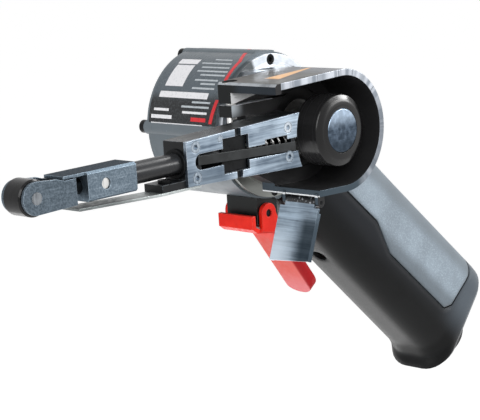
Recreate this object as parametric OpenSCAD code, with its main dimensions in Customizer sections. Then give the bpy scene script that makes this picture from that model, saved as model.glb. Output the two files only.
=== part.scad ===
// Pneumatic power file with a pistol grip, for a narrow abrasive belt.
// An air motor turns the drive pulley, and a sprung arm carries the idler roller and keeps a belt tight.
// Millimetres. The origin is on the pulley axis in the belt's middle plane, +X runs along the arm to its tip,
// +Y points to the open side of the belt housing, and +Z is up. The arm is fully out, with no belt on it.

/* [Belt drive] */
// Radius of the drive pulley
pulley_r = 13.5; // [11:0.25:14.5]
// Width of the drive pulley
pulley_w = 10.6; // [9:0.2:11.4]
// Radius of the flat nut that holds the pulley
nut_r = 8.25; // [6.5:0.05:9]
// Radius of the idler roller at the tip of the arm
roller_r = 6; // [5.6:0.1:7]
// Width of the idler roller
roller_w = 8.2; // [6.5:0.1:9]
// How far the arm is pushed in to fit a belt
arm_travel = 12; // [6:0.5:13]

/* [Belt housing] */
// Outer radius of the housing's round end
guard_r = 22.9; // [21.5:0.1:26]
// Thickness of the housing's rim wall
guard_wall = 2.4; // [1.8:0.1:3.2]
// Open edge of the housing, from the belt's middle plane
guard_near = 7.6; // [6:0.1:10]
// Back of the housing, from the belt's middle plane
guard_far = 21; // [19:0.1:21.5]
// Thickness of the housing's back wall, which is the split collar
guard_back = 6.4; // [5.6:0.1:7.4]
// Length of the housing's top wall, from the pulley axis
guard_top = 36.5; // [36:0.5:44]
// Length of the housing's bottom wall, from the pulley axis
guard_bottom = 16; // [16:0.5:22]
// Angle at which the top and bottom walls close in
guard_taper = 2; // [0:0.5:4]

/* [Arm holder] */
// Front end of the holder, from the pulley axis
holder_front = 80; // [77:0.5:86]
// Radius of the hollow at the holder's rear end
holder_hollow_r = 24.5; // [22.5:0.25:25]
// Height of the holder's front end
holder_front_h = 15.4; // [15:0.1:17]
// Height of the holder's rear end
holder_rear_h = 19.8; // [18.5:0.1:21]
// Depth of the holder with its cover
holder_d = 11.2; // [10.8:0.1:12.4]
// Thickness of the cover plates
cover_t = 1.2; // [0.8:0.1:1.6]
// Height of the slot in the cover
slot_h = 5.6; // [4.6:0.1:7]
// Thickness of the platen strip under the arm
platen_t = 0.9; // [0.5:0.1:1.2]
// Width of the platen strip
platen_w = 9; // [7:0.5:10.5]

/* [Arm] */
// Radius of the arm's rod
rod_r = 3.8; // [3.4:0.05:4]
// Length of bare rod between the holder and the arm head
rod_out = 23; // [19:0.5:30]
// Length of the arm head, from its rear face to the roller axis
head_len = 42; // [40:0.5:45]
// Width of the arm head along the pulley axis
head_w = 11; // [10.4:0.1:12.4]
// Height of the arm head
head_h = 9.8; // [9.2:0.1:10.4]
// Radius of the cross pin that holds the head on the rod
head_pin_r = 1.85; // [1.2:0.05:2.2]
// Length of the idler yoke, from its back to the roller axis
yoke_len = 16.2; // [15:0.1:17]
// Radius of the idler pin
idler_pin_r = 2; // [1.6:0.05:2.3]

/* [Motor] */
// Outer radius of the motor barrel
motor_r = 28.5; // [28:0.25:31]
// How far the label pad stands out of the barrel
pad_h = 0.5; // [0.3:0.1:1.2]
// Rear face of the motor's end cap, from the belt's middle plane
motor_rear = 70; // [69:0.5:78]
// Thickness of the end cap
end_cap_t = 4; // [3:0.25:4.5]
// Front face of the motor barrel, from the belt's middle plane
motor_front = 31; // [30.5:0.25:33]
// Thickness of the barrel's wall
barrel_wall = 7.5; // [6.5:0.1:8.5]
// Radius of the bosses for the end cap bolts
boss_r = 2.9; // [2.4:0.1:3.4]
// Angle from the grip axis to each bolt boss
boss_angle = 40; // [34:1:46]
// Thinnest wall of the cylinder liner
liner_wall = 2.5; // [2:0.1:4]
// Radius of the motor shaft
shaft_r = 5; // [4.5:0.1:5.4]
// Outer radius of the shaft bearings
bearing_r = 11; // [9:0.1:11.5]
// Radius of the nose that the belt housing clamps on
nose_r = 15; // [13.5:0.1:16]

/* [Grip] */
// Angle of the grip below the line of the arm
grip_angle = 42.7; // [38:0.1:47]
// Middle of the grip, behind the belt's middle plane
grip_y = 40; // [40:0.25:44]
// Distance by which the grip axis passes behind the motor axis
grip_offset = 3.2; // [2:0.1:5]
// End of the grip sleeve, along the grip axis from the motor axis
grip_len = 158; // [150:0.5:168]
// Width of the grip
grip_w = 33; // [30:0.25:33]
// Depth of the grip from front to back
grip_d = 42; // [39:0.25:43]
// Thickness of the grip sleeve at its sides
sleeve_wall = 6.5; // [6:0.1:7]
// Corner radius of the grip
grip_corner = 12; // [9:0.25:14]
// How far the front of the grip swells out towards its end
grip_swell = 3.4; // [2:0.1:5]
// How far the toe stands out at the front of the grip's end
grip_toe = 8.6; // [6:0.1:10]
// Angle by which the end of the grip leans, longer at the toe
grip_end_angle = 2; // [0:0.5:6]
// Thickness of the inlay panel on the back of the grip
inlay_t = 2.2; // [1.2:0.1:2.6]
// Width of the groove round the inlay
inlay_gap = 0.7; // [0.4:0.05:1.2]
// Radius of the threaded air inlet
inlet_r = 5.9; // [4.4:0.05:6.4]
// Depth of the inlet's thread
inlet_depth = 12; // [10:0.5:14]

/* [Trigger] */
// Pivot of the trigger, ahead of the grip's front face at the barrel's underside
pivot_ahead = 7.15; // [6.5:0.05:9]
// Pivot of the trigger, below the barrel
pivot_below = 5.4; // [5:0.1:7.5]
// Outer width of the trigger at its ears
trigger_w = 20; // [18:0.25:22]
// Width of the trigger's tongue
tongue_w = 16.2; // [13:0.2:17]
// Wall thickness of the trigger
trigger_t = 1.8; // [1.4:0.1:2.2]
// Length of the trigger's tongue, along its front face
tongue_len = 37; // [32:0.5:42]
// Angle of the tongue below the line of the arm
tongue_angle = 54; // [50:0.5:58]
// Radius of the trigger pin
trigger_pin_r = 1.5; // [1.2:0.05:1.7]
// Valve stem, along the grip axis from the barrel
valve_below = 16.5; // [14.5:0.25:18.5]
// Radius of the valve stem
stem_r = 1.5; // [1.2:0.05:1.8]

/* [Spark deflector] */
// Height of the deflector plate below its hinge, on the open side
deflector_h = 22.3; // [16:0.1:26]
// How much longer the plate is on its far side
deflector_slant = 1.3; // [0:0.1:3]
// Width of the deflector plate
deflector_w = 18.8; // [17:0.2:21]
// Angle at which the plate leans forward
deflector_lean = 21.5; // [8:0.5:24]

/* [Fits] */
// Radial clearance of turning and sliding fits
run_gap = 0.05; // [0.02:0.01:0.1]
// Clearance between fixed pieces that seat in each other
seat_gap = 0.04; // [0.02:0.01:0.1]
// Clearance beside pieces that move past each other
side_gap = 0.2; // [0.15:0.01:0.35]

/* [Hidden] */
$fn = 64;
hull_fn = 32;
eps = 0.01;
over = 1;

// Finishes
black = [0.07, 0.07, 0.08];
charcoal = [0.17, 0.18, 0.19];
grain_grey = [0.36, 0.39, 0.41];
blued = [0.30, 0.34, 0.38];
bright = [0.78, 0.80, 0.82];
steel = [0.60, 0.62, 0.64];
red = [0.86, 0.12, 0.08];
brass = [0.75, 0.60, 0.30];
bronze = [0.60, 0.45, 0.28];

// Belt housing
guard_inner_r = guard_r - guard_wall;
guard_arc_steps = 72;
back_face = -(guard_far - guard_back);
front_bead = 3;
front_bead_t = 3.7;
lip_edge = 0.9;
back_corner_z = -8;
split_z = 13.5;
split_gap = 0.8;
ear_t = 4.8;
screw_head_r = 2.7;
screw_head_h = 3;
pinch_r = 1.9;
pinch_x = guard_top - screw_head_r - 0.6;
pinch_y = -guard_far + screw_head_r + 0.4;
pinch_seat = guard_top_z(guard_top) - screw_head_h - 0.6;
pinch_end = 4.6;

// Motor, from the front of the barrel to the end cap
barrel_rear = motor_rear - end_cap_t;
barrel_bore_r = motor_r - barrel_wall;
plate_t = 4.8;
bearing_w = 4.4;
spigot_len = 5;
spigot_rear = motor_front + spigot_len;
liner_r = barrel_bore_r - seat_gap;
liner_front = spigot_rear + plate_t;
liner_rear = barrel_rear - plate_t - 0.6;
liner_offset = 2;
liner_bore_r = liner_r - liner_wall - liner_offset;
rotor_r = liner_bore_r - liner_offset - 0.4;
vane_count = 5;
vane_t = 1.6;
flange_front = motor_front - 2.2;
flange_r = motor_r - 0.8;
shoulder_step = 4.5;
shoulder_r = flange_r - shoulder_step;
shoulder_flat = shoulder_r - 0.5;
deck_front = sqrt(flange_r * flange_r - shoulder_flat * shoulder_flat) - 0.4;
deck_rear = -6;
shoulder_front = guard_far + 0.3;
nose_front = guard_far - guard_back + 0.3;
flange_screw_r = 1.2;
flange_head_r = 1.9;
flange_head_h = 1.2;
flange_screw_len = 8;
flange_screw_pitch = (flange_r + shoulder_r) / 2;
plug_r = 2.8;
plug_x = 6;
plug_y = -(flange_front + shoulder_front) / 2;
plug_depth = 4;
pad_first = 6;
pad_last = 101;
flange_screw_first = 92;
flange_screw_count = 4;
bolt_r = 1.7;
bolt_head_r = 2.6;
bolt_head_h = 2.7;
bolt_len = 22;
boss_pitch = motor_r - 1.6;
grip_way = 180 + grip_angle;
boss_angles = [for (side = [0, 180], way = [-1, 1]) grip_way + side + way * boss_angle];
pulley_seat = pulley_w / 2;
spindle_r = shaft_r - 1;
nut_seat = pulley_seat - 2.4;
nut_face = pulley_seat + 1.3;
spindle_end = nut_face - 0.9;

// Arm lengths, from the holder out to the roller axis
head_rear = holder_front + rod_out;
reach = head_rear + head_len;
yoke_rear = reach - yoke_len;
head_window = 4.8;
head_front = yoke_rear - head_window;

// Arm holder
holder_near = holder_d / 2;
cover_in = holder_near - cover_t;
holder_rear = sqrt(holder_hollow_r * holder_hollow_r - holder_rear_h * holder_rear_h / 4);
slider_len = 12;
slider_back = 30;
slider_rear = holder_front - slider_back;
slider_front = slider_rear + slider_len;
slider_h = 11.8;
slider_far = -rod_r;
spring_r = 2.75;
spring_wire_r = 0.42;
spring_turns = 7;
spring_seat = holder_hollow_r + 1.6;
chamber_front = holder_front - 7.6;
chamber_rear = slider_rear - arm_travel - 0.5;
chamber_far = slider_far - side_gap;
spring_chamber_h = 2 * (spring_r + spring_wire_r + 0.4);
bush_r = rod_r + 0.45;
bush_flange_r = rod_r + 1.3;
bush_flange_t = 0.8;
slot_end = holder_front - 3.9;
rear_slot_top = 1.2;
rear_slot_low = -4.6;
notch_rear = holder_hollow_r + 5;
notch_len = 11.7;
notch_top = 2.7;
strip_t = 1;
strip_half_h = 1.6;
strip_rear = [holder_hollow_r + 0.6, -2];
strip_front = [slot_end - slot_h / 2 + 1.2, 0.5];
cross_rear = slider_rear + 3.2;
cross_front = cross_rear + 3;
cover_screw_r = 1.15;
cover_head_r = 2.1;
cover_screw_h = 2 * 5.3;
cover_screw_depth = 2.1;
small_screw_r = 0.7;
small_head_r = 1.2;
tongue_h = 2.6;
tongue_reach = 11;
tongue_low = -holder_half_h(holder_front - 7) - 0.02;
platen_top = tongue_low - 0.03;
platen_rear = holder_front - 7;
platen_front = yoke_rear - 1.3;
platen_rise = 1.5;
platen_screw_x = holder_front + 6;
platen_screw_r = 1.25;
platen_head_r = 2.2;
platen_head_h = 0.9;
foot_front = guard_top - 0.2;
foot_half_h = 8;
foot_screw_x = foot_front - 5.5;
foot_screw_z = [-5.6, 0.6];
foot_screw_r = 1.7;
foot_head_r = 2.5;
foot_head_h = 2.4;

// Arm
head_socket = head_front - 5.2;
head_pin_x = head_front - 7.7;
head_roof = 1;
head_roof_len = 9.4;
head_roof_front = head_front + head_roof_len;
rod_tail_r = spring_r - spring_wire_r - 0.4;
rod_tail_len = 11;
rod_tail_end = slider_rear - rod_tail_len;
yoke_base = yoke_rear + 4.2;
cheek_in = roller_w / 2 + side_gap;
cheek_r = roller_r - 0.7;
yoke_top = head_h / 2 - head_roof - 0.2;
stem_root_r = 2.6;
stem_root_len = head_window + 5;
idler_bush_r = idler_pin_r + 1;

// Grip, in its own frame: x backward, z down the grip
front_fill = 0.8;
heel_out = 2.1;
swell_at = grip_len * 0.48;
flare_len = 15;
flare_at = grip_len - flare_len;
toe_at = grip_len - 5.8;
inlay_low = flare_at - 8;
inlay_toe = 6.6;
valve_at = motor_r + valve_below;
core_w = grip_w - 2 * sleeve_wall;
core_d = grip_d - 2 * sleeve_wall - 1;
core_corner = 6;
passage_r = 4;
bushing_r = inlet_r + 2;
valve_bore_r = 4.4;
valve_depth = grip_d / 2 + 7;
valve_bush_len = 9;
valve_head_r = 3.2;
valve_head_t = 1.6;
valve_spring_r = 2.4;
valve_spring_wire_r = 0.35;
valve_spring_turns = 6;
valve_front = -grip_d / 2;
recess_at = grip_len * 0.425;
recess_r = 3.2;
recess_depth = 2;

// Grip end, in the frame of the leaning end face: z runs out of the grip
core_end = -10;
bushing_in = 14;
bushing_start = core_end - bushing_in;
cap_shift = -1.4;
cap_end = 2.1;
cap_round_r = grip_w / 2 - 4.2;
cap_round_x = -grip_d / 2 + 11.8;
cap_back = grip_d / 2 - 5;
cap_back_w = core_w / 2 + 0.5;
cap_room = 0.5;
bushing_flange = 1.8;
bushing_end = cap_end + bushing_flange;
bushing_hex_r = bushing_r + 1.6;

// Trigger, seen from the open side
pivot_drop = motor_r + pivot_below;
pivot_x = grip_front_x(-motor_r) + pivot_ahead;
pivot = [pivot_x, -pivot_drop];
ear_r = 3.9;
ear_in = trigger_w / 2 - trigger_t;
bracket_half_w = ear_in - side_gap;
bracket_front = pivot_x + 4.6;
bracket_rear = pivot_x - 6.9;
bracket_low = -pivot_drop - 4.3;
bar_front = pivot_x + 8.7;
bar_top = -pivot_drop - 0.1;
bar_low = -pivot_drop - 5.3;
bar_half_w = trigger_w / 2 - 0.8;
tongue_top = [pivot_x - 5.7, -pivot_drop - 9.1];
tongue_in = [-sin(tongue_angle), cos(tongue_angle)];
tongue_d = 4;
tongue_edge = 2.5;
tip_round = 7.6;
knee = [bar_front - 2.6, bar_low - 1.9];

// Deflector
hinge_x = guard_bottom - 1.5;
hinge_z = -guard_top_z(hinge_x) - 2.3;
hinge_pin_r = 0.9;
eye_r = 1.8;
lug_t = 1.5;
deflector_mid = -1.9;
deflector_t = 1;
deflector_half = deflector_w / 2;
lug_out = deflector_half - 0.6;
eye_half = lug_out - lug_t - side_gap;

// Height of the top wall's outer face above the pulley axis
function guard_top_z(x, r = guard_r) = (r - x * sin(guard_taper)) / cos(guard_taper);

// Half the holder's height, which follows the two runs of the belt
function holder_half_h(x) = holder_front_h / 2
    + (holder_rear_h - holder_front_h) / 2 * (holder_front - x) / (holder_front - holder_rear);

// Where the grip's front face is at a height, before it swells
function grip_front_x(z) = (grip_d / 2 + front_fill - grip_offset) / sin(grip_angle) + z / tan(grip_angle);

// Where the valve stem meets the tongue's inner face, as a distance in front of the grip
function stem_meets() = let (
    grip_dir = [-cos(grip_angle), -sin(grip_angle)],
    grip_back = [-sin(grip_angle), cos(grip_angle)],
    stem_start = (grip_offset + valve_front) * grip_back + valve_at * grip_dir,
    wall = tongue_top + trigger_t * tongue_in,
    gap = wall - stem_start
) (gap * tongue_in) / (-grip_back * tongue_in);

// A flat outline, drawn in X and Z and pulled from y0 to y1
module slab(y0, y1) {
    translate([0, y1, 0])
        rotate([90, 0, 0])
            linear_extrude(y1 - y0)
                children();
}

// A box between two corners
module box(low, high) {
    translate(low)
        cube(high - low);
}

// Round bars along each axis
module bar_x(r, x0, x1, y = 0, z = 0) {
    translate([x0, y, z])
        rotate([0, 90, 0])
            cylinder(r = r, h = x1 - x0);
}

module bar_y(r, y0, y1, x = 0, z = 0) {
    translate([x, y0, z])
        rotate([-90, 0, 0])
            cylinder(r = r, h = y1 - y0);
}

module bar_z(r, z0, z1, x = 0, y = 0) {
    translate([x, y, z0])
        cylinder(r = r, h = z1 - z0);
}

// A countersunk head along Y with its wide end at y1
module sunk_head_y(r0, r1, y0, y1, x, z) {
    translate([x, y0, z])
        rotate([-90, 0, 0])
            cylinder(r1 = r0, r2 = r1, h = y1 - y0);
}

// A turned piece about the Y axis: the profile's x is its radius and its y runs along +Y
module turned_y() {
    rotate([-90, 0, 0])
        rotate_extrude()
            children();
}

// A rectangle with round corners
module round_rect(x0, x1, half_y, corner) {
    translate([x0 + corner, -half_y])
        square([x1 - x0 - 2 * corner, 2 * half_y]);
    translate([x0, -half_y + corner])
        square([x1 - x0, 2 * half_y - 2 * corner]);
    for (x = [x0 + corner, x1 - corner], y = [-half_y + corner, half_y - corner])
        translate([x, y])
            circle(corner);
}

// A coil spring along Z, from z = 0 to its length
module coil(mean_r, wire_r, turns, length, steps = 14, sides = 6) {
    count = turns * steps;
    rise = length - 2 * wire_r;
    points = [
        for (i = [0:count], k = [0:sides - 1])
            let (turn = 360 * i / steps, way = 360 * k / sides, r = mean_r + wire_r * cos(way))
                [r * cos(turn), r * sin(turn), wire_r + rise * i / count + wire_r * sin(way)]
    ];
    walls = [
        for (i = [0:count - 1], k = [0:sides - 1])
            let (next = (k + 1) % sides)
                [i * sides + k, (i + 1) * sides + k, (i + 1) * sides + next, i * sides + next]
    ];
    first = [for (k = [0:sides - 1]) k];
    last = [for (k = [sides - 1:-1:0]) count * sides + k];
    polyhedron(points, concat([first], walls, [last]));
}

// Places a piece in the grip's frame
module in_grip() {
    translate([0, -grip_y, 0])
        rotate([0, 270 - grip_angle, 0])
            translate([grip_offset, 0, 0])
                children();
}

// Places a piece in the frame of the grip's leaning end face
module in_grip_end() {
    in_grip()
        translate([0, 0, grip_len])
            rotate([0, grip_end_angle, 0])
                children();
}

// Places a piece in the frame of the valve: z runs into the grip from its front face
module in_valve() {
    in_grip()
        translate([valve_front, 0, valve_at])
            rotate([0, 90, 0])
                children();
}

// Bolt places round the motor
module at_bosses() {
    for (angle = boss_angles)
        translate([boss_pitch * cos(angle), 0, boss_pitch * sin(angle)])
            children();
}

module at_flange_screws() {
    for (i = [0:flange_screw_count - 1])
        let (angle = flange_screw_first + i * 360 / flange_screw_count)
        translate([flange_screw_pitch * cos(angle), 0, flange_screw_pitch * sin(angle)])
            children();
}

// The barrel's outside with its label pad and bosses, grown by a clearance
module barrel_shape(y0, y1, grow = 0) {
    wedge = 2 * motor_r;
    bar_y(motor_r + grow, y0, y1);
    slab(y0, y1)
        intersection() {
            circle(motor_r + pad_h + grow, $fn = 128);
            polygon([
                [0, 0],
                for (angle = [pad_first, (pad_first + pad_last) / 2, pad_last])
                    wedge * [cos(angle), sin(angle)]
            ]);
        }
    at_bosses()
        bar_y(boss_r + grow, y0, y1);
}

// The casting's core that runs down inside the grip
module grip_core_shape(grow = 0) {
    in_grip()
        translate([0, 0, barrel_bore_r / 2])
            linear_extrude(grip_len + grip_toe - barrel_bore_r / 2)
                round_rect(-core_d / 2 - grow, core_d / 2 + grow, core_w / 2 + grow, core_corner + grow);
}

module motor_housing() {
    color(black)
        difference() {
            union() {
                barrel_shape(-barrel_rear, -motor_front);
                difference() {
                    grip_core_shape();
                    in_grip_end()
                        translate([-grip_d, -grip_w, core_end])
                            cube([2 * grip_d, 2 * grip_w, grip_d]);
                    bar_y(motor_r, -motor_front - eps, 0);
                }
            }
            bar_y(barrel_bore_r, -motor_rear, -motor_front + over);
            at_bosses()
                bar_y(bolt_r + seat_gap, -motor_rear, -barrel_rear + bolt_len);
            at_flange_screws()
                bar_y(flange_screw_r + seat_gap, -motor_front - flange_screw_len, -motor_front + over);
            in_grip()
                bar_z(passage_r, valve_at, grip_len + bushing_start);
            in_grip_end()
                bar_z(bushing_r + seat_gap, bushing_start, core_end + over, cap_shift);
            in_valve()
                bar_z(valve_bore_r, -over, valve_depth);
        }
}

module motor_end_cap() {
    color(black)
        difference() {
            union() {
                turned_y()
                    polygon([
                        [0, -motor_rear + 0.8], [motor_r - 9, -motor_rear + 0.8], [motor_r - 8, -motor_rear],
                        [motor_r - 1.6, -motor_rear], [motor_r, -motor_rear + 1.6],
                        [motor_r, -barrel_rear], [0, -barrel_rear]
                    ]);
                barrel_shape(-motor_rear + 1.4, -barrel_rear);
                at_bosses()
                    bar_y(boss_r, -motor_rear, -barrel_rear);
            }
            at_bosses()
                bar_y(bolt_r + seat_gap, -motor_rear - over, -barrel_rear + over);
        }
}

module end_cap_bolts() {
    color(steel)
        at_bosses()
            difference() {
                union() {
                    bar_y(bolt_head_r, -motor_rear - bolt_head_h, -motor_rear);
                    bar_y(bolt_r, -motor_rear - eps, -barrel_rear + bolt_len - 2);
                }
                translate([0, -motor_rear - bolt_head_h - eps, 0])
                    rotate([-90, 0, 0])
                        cylinder(r = bolt_head_r * 0.58, h = bolt_head_h * 0.6, $fn = 6);
            }
}

module cylinder_liner() {
    color(steel)
        difference() {
            bar_y(liner_r, -liner_rear, -liner_front);
            bar_y(liner_bore_r, -liner_rear - over, -liner_front + over, z = liner_offset);
        }
}

module rear_end_plate() {
    color(bronze)
        difference() {
            bar_y(liner_r, -barrel_rear, -liner_rear);
            bar_y(bearing_r + seat_gap, -barrel_rear - over, -barrel_rear + bearing_w);
            bar_y(shaft_r + 0.4, -motor_rear, -liner_rear + over);
        }
}

module front_end_plate() {
    color(bronze)
        difference() {
            bar_y(liner_r, -liner_front, -spigot_rear);
            bar_y(shaft_r + 0.4, -liner_front - over, -spigot_rear + over);
        }
}

// A ball bearing as one ring with a shallow groove between its races
module bearing(y0, y1) {
    mid_r = (bearing_r + shaft_r) / 2;
    groove = 0.5;
    color(steel)
        turned_y()
            difference() {
                translate([shaft_r + run_gap, y0])
                    square([bearing_r - shaft_r - run_gap, y1 - y0]);
                for (y = [y0, y1])
                    translate([mid_r - 1.2, y - groove])
                        square([2.4, 2 * groove]);
            }
}

module rear_bearing() {
    bearing(-barrel_rear, -barrel_rear + bearing_w);
}

module front_bearing() {
    bearing(-nose_front - bearing_w - 1.2, -nose_front - 1.2);
}

module front_flange() {
    color(bright)
        difference() {
            union() {
                bar_y(liner_r, -spigot_rear, -motor_front + eps);
                bar_y(flange_r, -motor_front, -flange_front);
                intersection() {
                    bar_y(shoulder_r, -flange_front - eps, -shoulder_front);
                    box([-motor_r, -motor_rear, -motor_r], [motor_r, 0, shoulder_flat]);
                }
                box([deck_rear, -flange_front - eps, nose_r], [deck_front, -shoulder_front, shoulder_flat]);
                bar_y(nose_r, -shoulder_front - eps, -nose_front);
            }
            bar_y(shaft_r + 0.4, -spigot_rear - over, -nose_front + over);
            bar_y(bearing_r + seat_gap, -nose_front - bearing_w - 1.2, -nose_front + over);
            at_flange_screws() {
                bar_y(flange_screw_r + seat_gap, -motor_front - over, -flange_front + over);
                bar_y(flange_head_r + 0.2, -flange_front - flange_head_h - 0.2, -flange_front + over);
            }
            bar_z(plug_r + seat_gap, shoulder_flat - plug_depth, shoulder_flat + over, plug_x, plug_y);
        }
}

module flange_screws() {
    seat = -flange_front - flange_head_h - 0.2;
    color(black)
        at_flange_screws()
            difference() {
                union() {
                    bar_y(flange_head_r, seat, seat + flange_head_h);
                    bar_y(flange_screw_r, -motor_front - flange_screw_len + 0.5, seat + eps);
                }
                translate([0, seat + 0.4, 0])
                    rotate([-90, 0, 0])
                        cylinder(r = flange_head_r * 0.58, h = 3, $fn = 6);
            }
}

module shoulder_plug() {
    color(steel)
        difference() {
            bar_z(plug_r, shoulder_flat - plug_depth, shoulder_flat - 0.3, plug_x, plug_y);
            translate([plug_x, plug_y, shoulder_flat - 1.8])
                cylinder(r = plug_r * 0.55, h = 3, $fn = 6);
        }
}

// The grip's outside: it swells slowly towards its end, flares to the toe and rounds off
module grip_shape() {
    rows = [
        [barrel_bore_r, front_fill, 0, 0, 0],
        [swell_at, grip_swell * 0.74, heel_out * 0.3, 0, 0],
        [flare_at, grip_swell, heel_out, 0.2, grip_end_angle / 2],
        [flare_at + flare_len * 0.36, grip_swell + 1.4, heel_out, 0.4, grip_end_angle],
        [toe_at, grip_toe, heel_out, 0.1, grip_end_angle],
        [grip_len - 2.2, grip_toe - 2.2, heel_out, -2, grip_end_angle],
        [grip_len, grip_swell, heel_out - 0.6, -4.2, grip_end_angle]
    ];
    in_grip()
        for (i = [0:len(rows) - 2])
            hull()
                for (row = [rows[i], rows[i + 1]])
                    translate([0, 0, row[0]])
                        rotate([0, row[4], 0])
                            translate([0, 0, -eps])
                                linear_extrude(eps)
                                    round_rect(
                                        -grip_d / 2 - row[1], grip_d / 2 + row[2], grip_w / 2 + row[3],
                                        min(grip_corner, grip_w / 2 + row[3] - 0.2), $fn = hull_fn
                                    );
}

// A straight bar inside the grip, pulled in by the inlay's thickness: the inlay's seat
module grip_inset(depth = inlay_t) {
    in_grip()
        linear_extrude(grip_len)
            round_rect(-grip_d / 2 + depth, grip_d / 2 - depth, grip_w / 2 - depth, grip_corner - depth);
}

// The side view of the inlay, in the grip's own x and z, grown by a gap
module inlay_region(grow) {
    top = motor_r - 6;
    step_top = grip_len * 0.456;
    step_low = grip_len * 0.556;
    low = inlay_low;
    back = grip_d / 2 + 8;
    outline = [
        [back, top], [-2.4 - grow, top], [-1.2 - grow, step_top], [-7.4 - grow, step_low],
        [-6.6 - grow, low + grow / 2], [-3 - grow / 2, low + inlay_toe * 0.55 + grow],
        [grip_d / 3, low + inlay_toe + grow], [back, low + inlay_toe * 0.76 + grow]
    ];
    in_grip()
        translate([0, grip_w, 0])
            rotate([90, 0, 0])
                linear_extrude(2 * grip_w)
                    polygon(outline);
}

module grip_sleeve() {
    color(charcoal)
        difference() {
            grip_shape();
            grip_core_shape(seat_gap);
            barrel_shape(-motor_rear - over, 0, seat_gap);
            difference() {
                inlay_region(inlay_gap);
                grip_inset(inlay_t + seat_gap);
            }
            in_valve()
                bar_z(valve_bore_r, -over - grip_swell, grip_d / 2);
            in_valve()
                bar_z(recess_r, -over - grip_swell, recess_depth, valve_at - recess_at);
        }
}

module grip_inlay() {
    color(grain_grey)
        difference() {
            intersection() {
                grip_shape();
                inlay_region(0);
            }
            grip_inset();
            barrel_shape(-motor_rear - over, 0, seat_gap);
        }
}

// The cap fills the mouth of the sleeve, sits on the core's end and has a round-nosed plate outside
module inlet_cap() {
    color(black)
        in_grip_end()
            difference() {
                union() {
                    translate([0, 0, core_end])
                        linear_extrude(cap_end - core_end)
                            round_rect(
                                -core_d / 2 + cap_room, core_d / 2 - cap_room,
                                core_w / 2 - cap_room, core_corner
                            );
                    bar_z(cap_round_r, seat_gap, cap_end, cap_round_x);
                    translate([0, 0, seat_gap])
                        linear_extrude(cap_end - seat_gap)
                            round_rect(cap_round_x, cap_back, cap_back_w, core_corner);
                }
                bar_z(bushing_r + seat_gap, core_end - over, cap_end + over, cap_shift);
            }
}

module inlet_bushing() {
    color(brass)
        in_grip_end()
            difference() {
                union() {
                    bar_z(bushing_r, bushing_start + 0.4, cap_end + eps, cap_shift);
                    translate([cap_shift, 0, cap_end])
                        cylinder(r = bushing_hex_r, h = bushing_flange, $fn = 6);
                }
                bar_z(inlet_r, bushing_end - inlet_depth, bushing_end + over, cap_shift);
                bar_z(passage_r, bushing_start, bushing_end, cap_shift);
            }
}

module trigger_bracket() {
    color(black)
        difference() {
            box(
                [bracket_rear, -grip_y - bracket_half_w, bracket_low],
                [bracket_front, -grip_y + bracket_half_w, -motor_r * 0.8]
            );
            barrel_shape(-motor_rear, 0, seat_gap);
            bar_y(trigger_pin_r + seat_gap, -grip_y - trigger_w, -grip_y + trigger_w, pivot[0], pivot[1]);
        }
}

module trigger_pin() {
    color(steel)
        bar_y(
            trigger_pin_r, -grip_y - trigger_w / 2 + 0.6, -grip_y + trigger_w / 2 - 0.6, pivot[0], pivot[1]
        );
}

module valve_bush() {
    color(brass)
        in_valve()
            difference() {
                bar_z(valve_bore_r - seat_gap, 0.4, valve_bush_len);
                bar_z(stem_r + run_gap, -over, valve_bush_len + over);
            }
}

module valve_spring() {
    start = valve_bush_len + 0.3 + valve_head_t;
    color(steel)
        in_valve()
            translate([0, 0, start + 0.05])
                coil(valve_spring_r, valve_spring_wire_r, valve_spring_turns, valve_depth - start - 0.1);
}

module valve_stem() {
    color(steel)
        in_valve() {
            bar_z(stem_r, -stem_meets() + 0.4, valve_bush_len + 0.4);
            bar_z(valve_head_r, valve_bush_len + 0.3, valve_bush_len + 0.3 + valve_head_t);
        }
}

module rotor() {
    slot_depth = rotor_r * 0.5;
    color(steel)
        difference() {
            union() {
                bar_y(rotor_r, -liner_rear + side_gap, -liner_front - side_gap);
                bar_y(shaft_r, -barrel_rear + 0.2, -pulley_seat - eps);
                bar_y(spindle_r, -pulley_seat - 1, spindle_end);
            }
            for (i = [0:vane_count - 1])
                rotate([0, i * 360 / vane_count, 0])
                    box(
                        [rotor_r - slot_depth, -liner_rear, -vane_t / 2 - 0.05],
                        [rotor_r + over, -liner_front, vane_t / 2 + 0.05]
                    );
        }
}

module rotor_vanes() {
    color(bronze)
        for (i = [0:vane_count - 1])
            rotate([0, i * 360 / vane_count, 0])
                box(
                    [rotor_r * 0.5 + 0.3, -liner_rear + 0.3, -vane_t / 2],
                    [rotor_r - 0.1, -liner_front - 0.3, vane_t / 2]
                );
}

// The pulley's open side rises in a shallow cone to the nut, which sits in a recess
module drive_pulley() {
    chamfer = 0.3;
    color(black)
        turned_y()
            polygon([
                [spindle_r + seat_gap, -pulley_seat], [pulley_r - chamfer, -pulley_seat],
                [pulley_r, -pulley_seat + chamfer], [pulley_r, pulley_seat - chamfer],
                [pulley_r - chamfer, pulley_seat], [(pulley_r + nut_r) / 2, pulley_seat + 0.85],
                [nut_r + 0.1, nut_face - 0.1], [nut_r + 0.1, nut_seat], [spindle_r + seat_gap, nut_seat]
            ]);
}

module pulley_nut() {
    edge = 0.3;
    color(steel)
        turned_y()
            polygon([
                [spindle_r + seat_gap, nut_seat], [nut_r, nut_seat], [nut_r, nut_face - edge],
                [nut_r - edge, nut_face], [0, nut_face], [0, spindle_end + 0.1],
                [spindle_r + seat_gap, spindle_end + 0.1]
            ]);
}

// The housing's round end for a given radius, from its top wall round to its bottom wall
function guard_arc(r) = [
    for (i = [0:guard_arc_steps])
        let (angle = 90 - guard_taper + i * (180 + 2 * guard_taper) / guard_arc_steps)
            r * [cos(angle), sin(angle)]
];

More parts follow.
